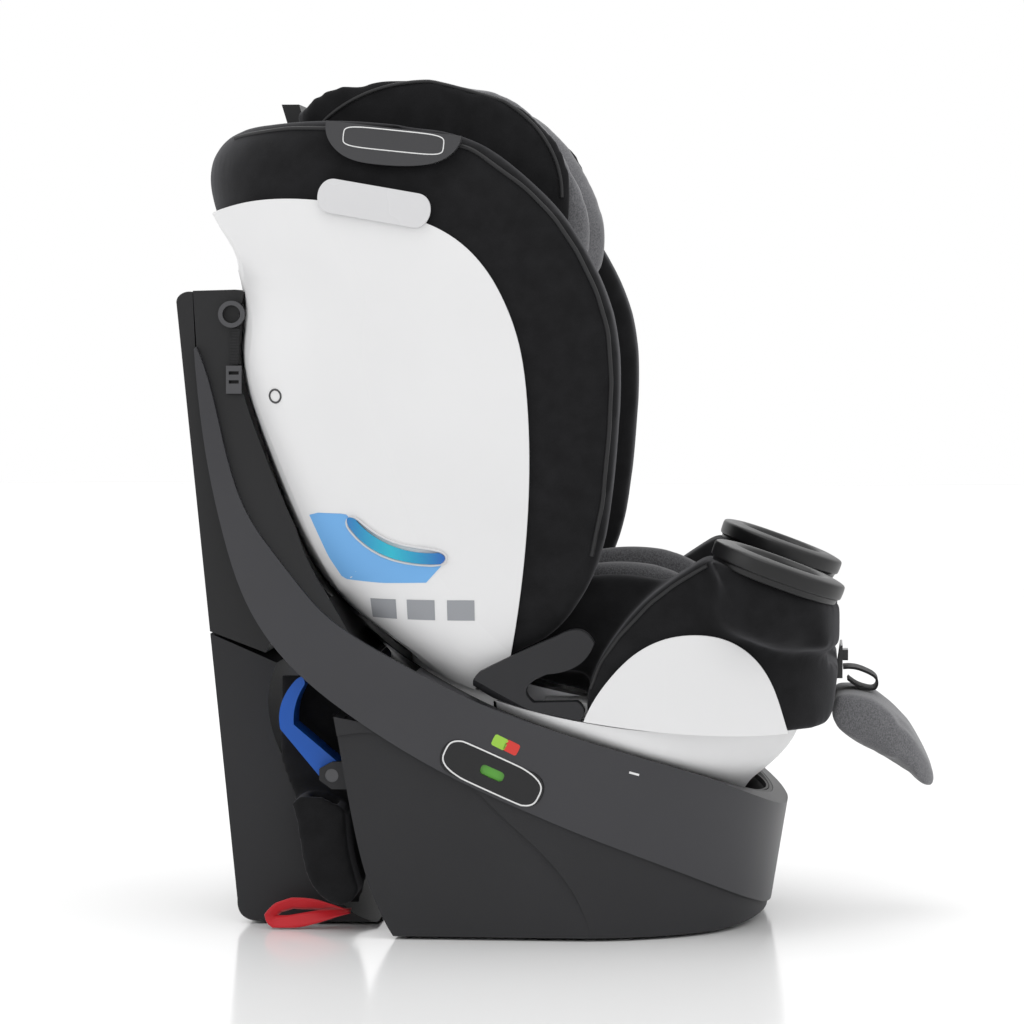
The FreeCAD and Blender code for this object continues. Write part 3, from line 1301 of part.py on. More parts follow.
def make_buckle():
    """The buckle with its press button, and the crotch strap that comes out of the cushion."""
    wide = size("buckle_wide")
    travel = size("button_travel")
    body = Part.makeBox(66, wide, 20, Vector(-33, -wide / 2, 0))
    body = body.makeFillet(5, [e for e in body.Edges if abs(e.tangentAt(0).z) > 0.9])
    room = Part.makeBox(26.6, 26.6, 9 + travel, Vector(-12.3, -13.3, 11 - travel + 0.01))
    body = body.cut(room).cut(Part.makeBox(16, wide - 12, 4, Vector(-34, -wide / 2 + 6, 8)))
    shaped("buckle", body, BUCKLE)
    button = Part.makeBox(26, 26, 7, Vector(-12, -13, 11 + travel))
    button = button.makeFillet(3, [e for e in button.Edges if abs(e.tangentAt(0).z) > 0.9])
    shaped("buckle_button", button, BUCKLE)
    strap = ribbon([(73.4, 279), (82, 277.5), (88.5, 270), (89.5, 254)], size("strap_thick"), -19, 19)
    shaped("crotch_strap", strap)


def pan_front_face():
    """The front of the padded pan, a hair proud, to seat what lies on it."""
    return side_slab([PAN_FRONT, [PAN_FRONT[-1], (200, 170)], [(200, 170), (200, 295)],
                      [(200, 295), PAN_FRONT[0]]], -60, 60).translated(Vector(0.3, 0, 0))


def make_adjuster():
    """The harness adjuster on the front, its button, and its pull strap with the hand loop."""
    plate = Part.makeBox(5, 64, 30, Vector(size("pan_front") - 7.6, -32, 218))
    plate = plate.cut(Part.makeBox(20, 41, 4, Vector(size("pan_front") - 16, -20.5, 223.5)))
    room = Part.makeBox(20, 20.8, 10.8, Vector(size("pan_front") - 9, -10.4, 232))
    shaped("adjuster_frame", solid_of(plate.cut(room).cut(pan_front_face())))
    button = Part.makeBox(5, 20, 10, Vector(size("pan_front") - 2.4, -10, 232.4))
    shaped("adjuster_button", button.makeFillet(1.5, [e for e in button.Edges
                                                      if abs(e.tangentAt(0).x) > 0.9]))
    x = size("pan_front")
    path = [(x - 2, 225), (x + 8, 225), (x + 20, 221), (x + 28, 214), (x + 27, 209),
            (x + 19, 208.5), (x + 9, 212.5), (x + 3, 217)]
    shaped("adjuster_strap", ribbon(path, 2.2, -19, 19))


def make_flap():
    """The padded flap that hangs over the seat's front edge."""
    top = [(299, 204.5), (308, 203.5), (326, 195), (345, 180), (369, 155), (383, 136), (387, 126)]
    end = [(387, 126), (385, 118), (376, 117)]
    under = [(376, 117), (364, 127), (339, 143), (312, 163), (300, 176), (295, 187)]
    flap = side_slab([top, end, under, [under[-1], top[0]]], -size("flap_half"),
                     size("flap_half"))
    plan = rounded_plan(326, 64, size("flap_half"), 2.6, 90, 240, 280)
    shaped("front_flap", solid_of(flap.common(plan)))


make_harness()
make_buckle()
make_adjuster()
make_flap()

# ---------------------------------------------------------------- recline handle


def make_recline_handle():
    """The recline release, a pull bar under the seat's front."""
    bar_outline = [[(269, 195), (286, 195)], [(286, 195), (285, 189), (279, 185.5)],
                   [(279, 185.5), (272, 185.5), (269, 195)]]
    shaped("recline_handle", side_slab(bar_outline, -58, 58))


make_recline_handle()

# ---------------------------------------------------------------- headrest


def head_slot(half, off, corner):
    """The headrest's U-shaped plan at an offset from the seat back, leaned with it."""
    at_hip = BACK_AT_HIP + off
    plan = [(at_hip + corner, -half), (at_hip + corner * 0.29, -half + corner * 0.29),
            (at_hip, -half + corner)]
    other = [(x, -y) for x, y in reversed(plan)]
    runs = [[(300, -half), plan[0]], plan, [plan[2], other[0]], other, [other[2], (300, half)]]
    shift = lean_x(430, 0)
    face = face_of(runs, lambda x, y: Vector(x + shift, y, sz(430)))
    return face.extrude(Vector(lean_x(800, 0) - lean_x(430, 0), 0, sz(800) - sz(430)))


def make_headrest():
    """The headrest: cover, shell with its slide, and the inner cushion."""
    half, wing = size("head_half"), size("head_wing")
    top = [(-230, 728), (-176, 730), (-153, 747), (-126, 754), (-83, 758), (-42, 754), (-7, 744),
           (25, 728), (50, 701), (60, 678), (63, 651), (58, 620), (40, 588), (8, 563), (-30, 551),
           (-80, 547), (-200, 552)]
    top = [(x, sz(z)) for x, z in top]
    cover_side = side_slab([top[:2], top[1:16], top[15:], [top[-1], top[0]]], -300, 300)
    inset = [(-230, 720), (-166, 722), (-126, 744), (-83, 748), (-45, 744), (-12, 735), (18, 719),
             (40, 696), (50, 675), (53, 651), (48, 624), (33, 596), (4, 573), (-30, 561),
             (-80, 557), (-200, 562)]
    inset = [(x, sz(z)) for x, z in inset]
    shell_side = side_slab([inset[:2], inset[1:15], inset[14:], [inset[-1], inset[0]]], -300, 300)
    inner = [(-220, 716), (-160, 724), (-120, 746), (-60, 752), (-4, 746), (31, 724), (54, 692),
             (66, 670), (76, 645), (78, 613), (72, 586), (52, 566), (10, 556), (-60, 553),
             (-200, 560)]
    inner = [(x, sz(z)) for x, z in inner]
    pad_side = side_slab([inner[:2], inner[1:14], inner[13:], [inner[-1], inner[0]]], -300, 300)
    cover = head_slot(half, 24, 36).cut(head_slot(half - 10 + GAP, 34 - GAP, 28)).common(cover_side)
    shell = head_slot(half - 10, 34, 28).cut(head_slot(half - 15 + GAP, 39 - GAP, 24))
    shell = shell.common(shell_side)
    pad = head_slot(half - 15, 39, 24).cut(head_slot(half - wing, 39 + wing * 0.7, 30))
    shaped("headrest_cushion", solid_of(pad.common(pad_side)))
    block = leaned_box(-18, 35, 70, 575, 690)
    mast = leaned_box(-18, -2, 70, 470, 600)
    shell = shell.fuse(block).fuse(mast)
    shell = shell.cut(leaned_box(1.6, 8.4, 12.4, 560, 700))
    for side in (-1, 1):
        shell = shell.cut(guide_tube(side, size("rail_tube") + size("run_gap"), 440, 760))
    shaped("headrest_shell", solid_of(shell))
    shaped("headrest_cover", solid_of(cover.cut(leaned_box(0, 60, 70 + GAP, 570, 695))))
    stem = leaned_box(2, 8, 12, 640, 730)
    tab = leaned_box(3, 19, 40, 723, 740)
    shaped("headrest_lever", solid_of(stem.fuse(tab)))


def leaned_box(low_off, high_off, half, low_z, high_z):
    """A box that leans with the seat back, between two offsets and two heights."""
    corners = [at_back(low_z, low_off), at_back(low_z, high_off), at_back(high_z, high_off),
               at_back(high_z, low_off)]
    return side_plate(corners, -half, half)


def guide_tube(side, radius, low_z, high_z):
    """A headrest guide tube, leaning with the seat back."""
    x, z = at_back(low_z, -10)
    top_x, top_z = at_back(high_z, -10)
    run = Vector(top_x - x, 0, top_z - z)
    return Part.makeCylinder(radius, run.Length, Vector(x, side * 55, z), run)


def make_guides():
    """The two guide tubes fixed in the seat back."""
    tubes = [guide_tube(s, size("rail_tube"), 452, 711) for s in (-1, 1)]
    shaped("headrest_guides", Part.makeCompound(tubes))


def back_ring(near, far, low_z, high_z, front):
    """A U-shaped bar inside the seat back, between two depths under its surface."""
    ring = back_form(near).cut(back_form(far, 200.0))
    return ring.common(Part.makeBox(400, 600, sz(high_z) - sz(low_z), Vector(front - 400, -300, sz(low_z))))


def make_yoke():
    """The flat yoke in the seat back that joins the two rotation release grips."""
    yoke = back_ring(12, 15.5, 686, 697, -62)
    inner = grip_y(1)[0]
    for side in (-1, 1):
        low = inner - 8 if side > 0 else -inner + GAP
        yoke = yoke.fuse(Part.makeBox(44, 8 - GAP, 9, Vector(-112, low, sz(687))))
    shaped("rotate_yoke", solid_of(yoke))


def cut_bucket(soft):
    """The channels in the padded back: for the yoke, the headrest's slide and its tubes."""
    lift = size("grip_lift") + 3
    soft = soft.cut(back_ring(9, 19, 684, 697 + lift, -58))
    inner = grip_y(1)[0]
    for side in (-1, 1):
        low = inner - 12 if side > 0 else -inner - 2
        soft = soft.cut(Part.makeBox(52, 14, 12 + lift, Vector(-116, low, sz(685))))
    soft = soft.cut(leaned_box(-20, 5, 73, 464, 800))
    for side in (-1, 1):
        soft = soft.cut(guide_tube(side, size("rail_tube") + GAP, 450, 713))
    return soft


make_headrest()
make_guides()
make_yoke()
make_back_cover_soft()


def check_and_export():
    """Stops on any failed object, then writes each sub-part's STEP file."""
    doc.recompute()
    for thing in doc.Objects:
        if "Invalid" in thing.State or "Error" in thing.State:
            raise RuntimeError(f"{thing.Label} failed: {thing.State}")
    os.makedirs("parts", exist_ok=True)
    for thing in SUB_PARTS:
        if thing.Shape.isNull() or not thing.Shape.isValid():
            raise RuntimeError(f"{thing.Label} has no valid shape")
    for thing in SUB_PARTS:
        thing.Shape.exportStep(f"parts/{thing.Label}.step")
    print(len(SUB_PARTS), "sub-parts")


check_and_export()
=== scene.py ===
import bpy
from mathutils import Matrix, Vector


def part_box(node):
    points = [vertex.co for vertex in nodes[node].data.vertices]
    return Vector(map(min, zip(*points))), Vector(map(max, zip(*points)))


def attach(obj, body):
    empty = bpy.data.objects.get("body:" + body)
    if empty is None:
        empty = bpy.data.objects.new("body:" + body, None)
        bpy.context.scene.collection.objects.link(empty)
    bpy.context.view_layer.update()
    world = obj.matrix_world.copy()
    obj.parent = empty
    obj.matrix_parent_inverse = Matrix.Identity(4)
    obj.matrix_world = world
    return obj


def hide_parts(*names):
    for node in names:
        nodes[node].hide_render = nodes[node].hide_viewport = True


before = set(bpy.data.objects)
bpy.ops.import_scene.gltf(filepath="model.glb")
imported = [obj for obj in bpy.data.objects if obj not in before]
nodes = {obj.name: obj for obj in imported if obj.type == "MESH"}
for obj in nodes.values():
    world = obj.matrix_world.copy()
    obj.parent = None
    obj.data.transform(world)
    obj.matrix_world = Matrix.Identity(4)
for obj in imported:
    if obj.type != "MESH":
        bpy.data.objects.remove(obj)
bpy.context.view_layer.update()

import math
import bmesh
import bpy
import numpy as np
from mathutils import Matrix, Vector
from mathutils.bvhtree import BVHTree

# ---- Camera, floor and studio light.
# A long lens a little above the middle of the seat, a pale floor with a faint polish, one wide
# soft light overhead, a low fill from each side and an even white surround.
look_at = Vector((0.0, 0.0, 0.3668))
turn, rise, away = math.radians(4.5), math.radians(2.9), 3.5
towards = Vector((math.sin(turn) * math.cos(rise), -math.cos(turn) * math.cos(rise), math.sin(rise)))
camera = bpy.data.objects.new("camera", bpy.data.cameras.new("camera"))
bpy.context.scene.collection.objects.link(camera)
camera.location = look_at + towards * away
camera.rotation_euler = (-towards).to_track_quat("-Z", "Y").to_euler()
camera.data.lens = 133.3
camera.data.clip_end = 60
bpy.context.scene.camera = camera


def soft_light(name, place, aim, width, height, power):
    """A rectangular soft box that faces the given point."""
    lamp = bpy.data.lights.new(name, "AREA")
    lamp.shape = "RECTANGLE"
    lamp.size, lamp.size_y, lamp.energy = width, height, power
    holder = bpy.data.objects.new(name, lamp)
    holder.location = place
    holder.rotation_euler = (Vector(aim) - Vector(place)).to_track_quat("-Z", "Y").to_euler()
    bpy.context.scene.collection.objects.link(holder)


soft_light("overhead", (0.0, -0.3, 2.6), (0, 0, 0.3), 1.6, 1.6, 14)
soft_light("left_fill", (-2.6, -1.6, 1.5), (0, 0, 0.4), 1.0, 1.8, 7)
soft_light("right_fill", (2.7, -1.2, 1.6), (0, 0, 0.35), 1.0, 1.6, 6)
soft_light("rear_rim", (-0.4, 2.6, 1.9), (0, 0, 0.4), 1.8, 1.2, 8)
world = bpy.data.worlds.new("pale_surround")
world.use_nodes = True
world.node_tree.nodes["Background"].inputs["Color"].default_value = (1, 1, 1, 1)
world.node_tree.nodes["Background"].inputs["Strength"].default_value = 1.0
bpy.context.scene.world = world
bpy.context.scene.view_settings.view_transform = "Standard"


def new_material(name, colour, rough, specular=0.5):
    """A principled material with the values that are the same all over set on its sockets."""
    material = bpy.data.materials.new(name)
    material.use_nodes = True
    shader = material.node_tree.nodes["Principled BSDF"]
    shader.inputs["Base Color"].default_value = (*colour, 1)
    shader.inputs["Roughness"].default_value = rough
    shader.inputs["Specular IOR Level"].default_value = specular
    return material, shader


floor_material, _ = new_material("pale_floor", (0.985, 0.985, 0.985), 0.14, 0.22)
floor_mesh = bpy.data.meshes.new("floor")
floor_mesh.from_pydata([(-9, -9, 0), (9, -9, 0), (9, 9, 0), (-9, 9, 0)], [], [(0, 1, 2, 3)])
floor_mesh.materials.append(floor_material)
floor = bpy.data.objects.new("floor", floor_mesh)
bpy.context.scene.collection.objects.link(floor)
floor.location = (0, 0, -0.0005)

# ---- Base: housing, band, tall back, rear leg, rear cover and feet.
# Injection moulded. The housing is grained and nearly black, the swooping band is a satin dark grey,
# the tall back and the bowl are plain dark mouldings. They are screwed together from below.


def add_node(material, kind, **values):
    """A shader node with its plain sockets set by name."""
    node = material.node_tree.nodes.new(kind)
    for key, value in values.items():
        if key in node.inputs:
            node.inputs[key].default_value = value
        else:
            setattr(node, key, value)
    return node


def link(tree, source, out, target, into):
    """Joins an output of one node to an input of another."""
    tree.links.new(source.outputs[out], target.inputs[into])


def wire(material, source, out, target, into):
    """The same, inside a material."""
    link(material.node_tree, source, out, target, into)


def moulded(name, colour, rough, grain=1100.0, depth=0.00006, mottle=0.06, specular=0.5):
    """Moulded plastic: fine spark grain, a slight drift of tone, rubbed patches a little shinier."""
    material, shader = new_material(name, colour, rough, specular)
    place = add_node(material, "ShaderNodeTexCoord")
    fine = add_node(material, "ShaderNodeTexNoise", Scale=grain, Detail=2.0)
    wire(material, place, "Object", fine, "Vector")
    bump = add_node(material, "ShaderNodeBump", Strength=0.5, Distance=depth)
    wire(material, fine, "Fac", bump, "Height")
    wire(material, bump, "Normal", shader, "Normal")
    drift = add_node(material, "ShaderNodeTexNoise", Scale=7.0, Detail=3.0)
    wire(material, place, "Object", drift, "Vector")
    tone = add_node(material, "ShaderNodeValToRGB")
    tone.color_ramp.elements[0].position = 0.35
    tone.color_ramp.elements[1].position = 0.65
    tone.color_ramp.elements[0].color = (*[c * (1 - mottle) for c in colour], 1)
    tone.color_ramp.elements[1].color = (*[min(1, c * (1 + mottle)) for c in colour], 1)
    wire(material, drift, "Fac", tone, "Fac")
    wire(material, tone, "Color", shader, "Base Color")
    rub = add_node(material, "ShaderNodeMapRange")
    rub.inputs["To Min"].default_value = rough - 0.05
    rub.inputs["To Max"].default_value = rough + 0.05
    wire(material, drift, "Fac", rub, "Value")
    wire(material, rub, "Result", shader, "Roughness")
    return material


def finish(material, *names):
    """Gives CAD nodes a finish."""
    for name in names:
        for holder in nodes[name].material_slots:
            holder.material = material


def eased(width, *names):
    """A moulded edge radius on CAD nodes."""
    for name in names:
        bevel = nodes[name].modifiers.new("edge_radius", "BEVEL")
        bevel.width = width
        bevel.segments = 2
        bevel.limit_method = "ANGLE"
        bevel.angle_limit = math.radians(40)
        bevel.use_clamp_overlap = True
        bevel.harden_normals = True


housing_black = moulded("housing_black", (0.017, 0.017, 0.019), 0.55, 900, 0.0001, 0.08, 0.35)
band_grey = moulded("band_grey", (0.034, 0.034, 0.038), 0.42, 1300, 0.00005, 0.05, 0.4)
dark_plastic = moulded("dark_plastic", (0.012, 0.012, 0.013), 0.45, 1100, 0.00006, 0.06, 0.35)
rubber, _ = new_material("rubber", (0.02, 0.02, 0.02), 0.85, 0.3)
finish(housing_black, "base_housing", "rear_tower")
finish(band_grey, "rim_band")
finish(dark_plastic, "bowl_liner", "tall_back", "back_cover", "floor_plate")
finish(rubber, "anti_slip_feet")

# ---- Turning stack and belt bar.
# Zinc-plated steel: the races, balls, plate, pin, nut, ring, bolt and spring, the recline rails and
# runners, the headrest tubes and the yoke. Bright where they run, dull elsewhere.
steel, steel_shader = new_material("steel", (0.5, 0.5, 0.52), 0.32)
steel_shader.inputs["Metallic"].default_value = 1.0
steel_place = add_node(steel, "ShaderNodeTexCoord")
steel_drift = add_node(steel, "ShaderNodeTexNoise", Scale=35.0, Detail=4.0)
wire(steel, steel_place, "Object", steel_drift, "Vector")
steel_rough = add_node(steel, "ShaderNodeMapRange")
steel_rough.inputs["To Min"].default_value = 0.22
steel_rough.inputs["To Max"].default_value = 0.42
wire(steel, steel_drift, "Fac", steel_rough, "Value")
wire(steel, steel_rough, "Result", steel_shader, "Roughness")
finish(steel, "lower_race", "bearing_balls", "upper_race", "turntable_plate", "king_pin",
       "king_nut", "lock_ring", "lock_bolt", "lock_spring", "recline_rails", "recline_runners",
       "headrest_guides", "rotate_yoke")
dull_steel, dull_shader = new_material("dull_steel", (0.10, 0.10, 0.105), 0.45)
dull_shader.inputs["Metallic"].default_value = 1.0
finish(dull_steel, "tether_hardware", "belt_bar")

# ---- White shells: carriage, seat pan, seat back and blank badge.
# Satin white polypropylene mouldings with a soft edge. The carriage is screwed to the turntable
# plate, the pan and back shells to each other, and the badge snaps into the back shell.
white_shell = moulded("white_shell", (0.74, 0.74, 0.745), 0.38, 1500, 0.00003, 0.012, 0.35)
badge_white = moulded("badge_white", (0.62, 0.62, 0.63), 0.28, 1500, 0.00002, 0.01, 0.4)
finish(white_shell, "back_shell", "pan_shell", "carriage_shell")
finish(badge_white, "side_plates")


def smooth_mesh(mesh):
    """Smooth shading all over."""
    mesh.polygons.foreach_set("use_smooth", [True] * len(mesh.polygons))
    mesh.update()


def new_piece(name, mesh, body, slot_name, *replaced):
    """A new object in the part's frame that rides on a body. It may stand in for CAD nodes."""
    piece = bpy.data.objects.new(name, mesh)
    bpy.context.scene.collection.objects.link(piece)
    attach(piece, body)
    if replaced:
        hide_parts(*replaced)
    return piece


def evaluated_mesh(piece):
    """The mesh as its modifiers leave it."""
    bpy.context.view_layer.update()
    graph = bpy.context.evaluated_depsgraph_get()
    return bpy.data.meshes.new_from_object(piece.evaluated_get(graph), depsgraph=graph)


def copied_mesh(node):
    """The CAD node's mesh in the part's frame."""
    mesh = nodes[node].data.copy()
    mesh.transform(nodes[node].matrix_world)
    mesh.materials.clear()
    return mesh


def surface(mesh):
    """A tree to cast rays on."""
    points = [v.co.copy() for v in mesh.vertices]
    return BVHTree.FromPolygons(points, [tuple(p.vertices) for p in mesh.polygons])


def hit_side(tree, x, z, side, lift=0.0):
    """The point where a side view ray meets the surface, lifted off it."""
    place, normal, _, _ = tree.ray_cast(Vector((x, side * 0.5, z)), Vector((0, -side, 0)))
    if place is None:
        return None
    if normal.y * side < 0:
        normal = -normal
    return place + normal * lift


def resampled(points, count):
    """The polyline with evenly spaced points."""
    spots = [Vector(p) for p in points]
    runs = [0.0]
    for a, b in zip(spots, spots[1:]):
        runs.append(runs[-1] + (b - a).length)
    out = []
    for i in range(count):
        at = runs[-1] * i / (count - 1)
        k = 0
        while k < len(runs) - 2 and runs[k + 1] < at:
            k += 1
        part = (at - runs[k]) / max(1e-9, runs[k + 1] - runs[k])
        out.append(spots[k].lerp(spots[k + 1], part))
    return out


def tube_mesh(name, routes, radius, material, closed=False):
    """Round tubes along routes, as one mesh."""
    curve = bpy.data.curves.new(name, "CURVE")
    curve.dimensions = "3D"
    curve.bevel_depth = radius
    curve.bevel_resolution = 2
    curve.use_fill_caps = not closed
    for route in routes:
        line = curve.splines.new("NURBS")
        line.points.add(len(route) - 1)
        for spot, place in zip(line.points, route):
            spot.co = (*place, 1)
        line.order_u = 3
        line.use_cyclic_u = closed
        line.use_endpoint_u = not closed
        line.resolution_u = 3
    holder = bpy.data.objects.new(name, curve)
    bpy.context.scene.collection.objects.link(holder)
    mesh = evaluated_mesh(holder)
    bpy.data.objects.remove(holder)
    mesh.materials.clear()
    mesh.materials.append(material)
    smooth_mesh(mesh)
    return mesh


def lathe(profile, place, steps=56):
    """A closed profile of (radius, height) turned about its own axis, then placed."""
    points, faces = [], []
    for i in range(steps):
        t = 2 * math.pi * i / steps
        for radius, height in profile:
            points.append(place @ Vector((radius * math.cos(t), radius * math.sin(t), height)))
    many = len(profile)
    for i in range(steps):
        for k in range(many):
            a, b = i * many + k, i * many + (k + 1) % many
            c, d = (i + 1) % steps * many + (k + 1) % many, (i + 1) % steps * many + k
            if profile[k][0] < 1e-6 and profile[(k + 1) % many][0] < 1e-6:
                continue
            faces.append((a, d, c, b))
    mesh = bpy.data.meshes.new("lathe")
    mesh.from_pydata(points, [], faces)
    joined = bmesh.new()
    joined.from_mesh(mesh)
    bmesh.ops.remove_doubles(joined, verts=joined.verts, dist=1e-6)
    bmesh.ops.recalc_face_normals(joined, faces=joined.faces)
    joined.to_mesh(mesh)
    joined.free()
    return mesh


# ---- Status plates and flags.
# A black oval plate set in the band on each side, with a printed outline, a window for the sliding
# green flag below it and a small two-colour lock pill above. Snapped in from outside.
white_print, _ = new_material("white_print", (0.75, 0.75, 0.75), 0.5, 0.3)
green_flag = moulded("green_flag", (0.13, 0.48, 0.05), 0.3, 1500, 0.00002, 0.03)
pill_red, _ = new_material("pill_red", (0.62, 0.04, 0.03), 0.4, 0.4)
pill_green, _ = new_material("pill_green", (0.30, 0.55, 0.06), 0.4, 0.4)
finish(dark_plastic, "status_plates")
finish(green_flag, "status_flags")


def on_side(tree, outline, side, lift):
    """A side view outline laid on a surface, for one side."""
    places = [hit_side(tree, x, z, side, lift) for x, z in outline]
    return [place for place in places if place is not None]


def oval_outline(centre_x, centre_z, half_long, half_high, lean, count=40, power=3.2):
    """A rounded oblong in the side view."""
    out = []
    for i in range(count):
        t = 2 * math.pi * i / count
        a = math.copysign(abs(math.cos(t)) ** (2 / power), math.cos(t)) * half_long
        b = math.copysign(abs(math.sin(t)) ** (2 / power), math.sin(t)) * half_high
        out.append((centre_x + a * math.cos(lean) - b * math.sin(lean),
                    centre_z + a * math.sin(lean) + b * math.cos(lean)))
    return out


def patch_mesh(name, tree, low_line, high_line, side, lift, material, rows=6, columns=24):
    """A thin printed patch between two side view lines, laid on a surface."""
    low = resampled([(x, 0, z) for x, z in low_line], columns)
    high = resampled([(x, 0, z) for x, z in high_line], columns)
    points = []
    for j in range(rows):
        for a, b in zip(low, high):
            spot = a.lerp(b, j / (rows - 1))
            place = hit_side(tree, spot.x, spot.z, side, lift)
            points.append(place if place is not None else Vector((spot.x, 0, spot.z)))
    faces = []
    for j in range(rows - 1):
        for i in range(columns - 1):
            k = j * columns + i
            face = (k, k + 1, k + 1 + columns, k + columns)
            faces.append(face if side < 0 else face[::-1])
    mesh = bpy.data.meshes.new(name)
    mesh.from_pydata(points, [], faces)
    mesh.materials.append(material)
    smooth_mesh(mesh)
    return mesh


def pill_lines(centre_x, centre_z, half_long, half_high, lean, count=12):
    """The upper and lower line of a small rounded patch."""
    upper, lower = [], []
    for i in range(count):
        t = math.pi * i / (count - 1)
        a = -math.cos(t) * half_long
        b = min(1.0, 1.7 * math.sin(t) ** 0.6) * half_high
        for lines, sign in ((upper, 1), (lower, -1)):
            lines.append((centre_x + a * math.cos(lean) - sign * b * math.sin(lean),
                          centre_z + a * math.sin(lean) + sign * b * math.cos(lean)))
    return lower, upper


plate_tree = surface(copied_mesh("status_plates"))
band_tree = surface(copied_mesh("rim_band"))
plate_low, plate_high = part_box("status_plates")
plate_x, plate_z = (plate_low.x + plate_high.x) / 2, (plate_low.z + plate_high.z) / 2
plate_lean = math.radians(-26)
outline_half_long, outline_half_high, outline_radius = 0.0455, 0.0165, 0.0007
pill_ahead, pill_above, pill_slope = 0.012, 0.025, 0.45
pill_half_long, pill_half_high = 0.0066, 0.0052
for side in (-1, 1):
    oval = oval_outline(plate_x, plate_z, outline_half_long, outline_half_high, plate_lean, 48)
    ring = on_side(plate_tree, oval, side, 0.0001)
    if len(ring) > 20:
        outline = tube_mesh("status_outline", [ring], outline_radius, white_print, True)
        new_piece(f"status_outline_{side + 2}", outline, "base", "white_shell")
    for shift, paint in ((-0.0052, pill_green), (0.0052, pill_red)):
        pill_z = plate_z + pill_above - shift * pill_slope
        lines = pill_lines(plate_x + pill_ahead + shift, pill_z, pill_half_long, pill_half_high,
                           plate_lean)
        pill = patch_mesh("lock_pill", band_tree, *lines, side, 0.0003, paint, 4, 12)
        new_piece(f"lock_pill_{side + 2}_{paint.name[5:]}", pill, "base", "green_flag")

# ---- Ribs inside the bowl's front rim.
# A row of thin teeth on the liner's inner face, of the same dark plastic. They are moulded in one
# with the liner.
ribs = bpy.data.node_groups.new("rib_row", "GeometryNodeTree")
for label, kind, value in (("Count", "NodeSocketInt", 27), ("Radius", "NodeSocketFloat", 0.1825),
                           ("Height", "NodeSocketFloat", 0.186), ("Sweep", "NodeSocketFloat", 1.5)):
    socket = ribs.interface.new_socket(label, in_out="INPUT", socket_type=kind)
    socket.default_value = value
ribs.interface.new_socket("Geometry", in_out="OUTPUT", socket_type="NodeSocketGeometry")
taken = ribs.nodes.new("NodeGroupInput")
given = ribs.nodes.new("NodeGroupOutput")
arc = ribs.nodes.new("GeometryNodeCurveArc")
half_back = ribs.nodes.new("ShaderNodeMath")
half_back.operation = "MULTIPLY"
half_back.inputs[1].default_value = -0.5
link(ribs, taken, "Sweep", half_back, 0)
link(ribs, half_back, "Value", arc, "Start Angle")
link(ribs, taken, "Sweep", arc, "Sweep Angle")
link(ribs, taken, "Radius", arc, "Radius")
dots = ribs.nodes.new("GeometryNodeCurveToPoints")
link(ribs, arc, "Curve", dots, "Curve")
link(ribs, taken, "Count", dots, "Count")
tooth = ribs.nodes.new("GeometryNodeMeshCube")
tooth.inputs["Size"].default_value = (0.0022, 0.0060, 0.013)
row = ribs.nodes.new("GeometryNodeInstanceOnPoints")
link(ribs, dots, "Points", row, "Points")
link(ribs, tooth, "Mesh", row, "Instance")
link(ribs, dots, "Rotation", row, "Rotation")
lift_row = ribs.nodes.new("ShaderNodeCombineXYZ")
link(ribs, taken, "Height", lift_row, "Z")
shift_row = ribs.nodes.new("GeometryNodeTransform")
link(ribs, row, "Instances", shift_row, "Geometry")
link(ribs, lift_row, "Vector", shift_row, "Translation")
solid_row = ribs.nodes.new("GeometryNodeRealizeInstances")
link(ribs, shift_row, "Geometry", solid_row, "Geometry")
paint_row = ribs.nodes.new("GeometryNodeSetMaterial")
paint_row.inputs["Material"].default_value = dark_plastic
link(ribs, solid_row, "Geometry", paint_row, "Geometry")
link(ribs, paint_row, "Geometry", given, "Geometry")
rib_holder = bpy.data.objects.new("rib_holder", bpy.data.meshes.new("rib_holder"))
bpy.context.scene.collection.objects.link(rib_holder)
rib_row = rib_holder.modifiers.new("rib_row", "NODES")
rib_row.node_group = ribs
rib_mesh = evaluated_mesh(rib_holder)
bpy.data.objects.remove(rib_holder)
axis_lean = math.radians(20)
rib_mesh.transform(Matrix.Rotation(axis_lean, 4, "Y"))
if not rib_mesh.materials:
    rib_mesh.materials.append(dark_plastic)
new_piece("bowl_ribs", rib_mesh, "base", "dark_plastic")

# ---- Lock-off levers.
# Bright blue frames of glass-filled nylon, one on each side. They tip on the ends of the steel belt
# bar and clamp the vehicle belt.
blue_plastic = moulded("blue_plastic", (0.004, 0.085, 0.42), 0.4, 1300, 0.00004, 0.06, 0.4)
finish(blue_plastic, "lockoff_lever_right", "lockoff_lever_left")
eased(0.0016, "lockoff_lever_right", "lockoff_lever_left")

# ---- Padded seat back.
# Foam under a black knit cover, drawn tight round the back and sewn with a piped seam along the
# wing's edge. The cover hooks under the white shell.


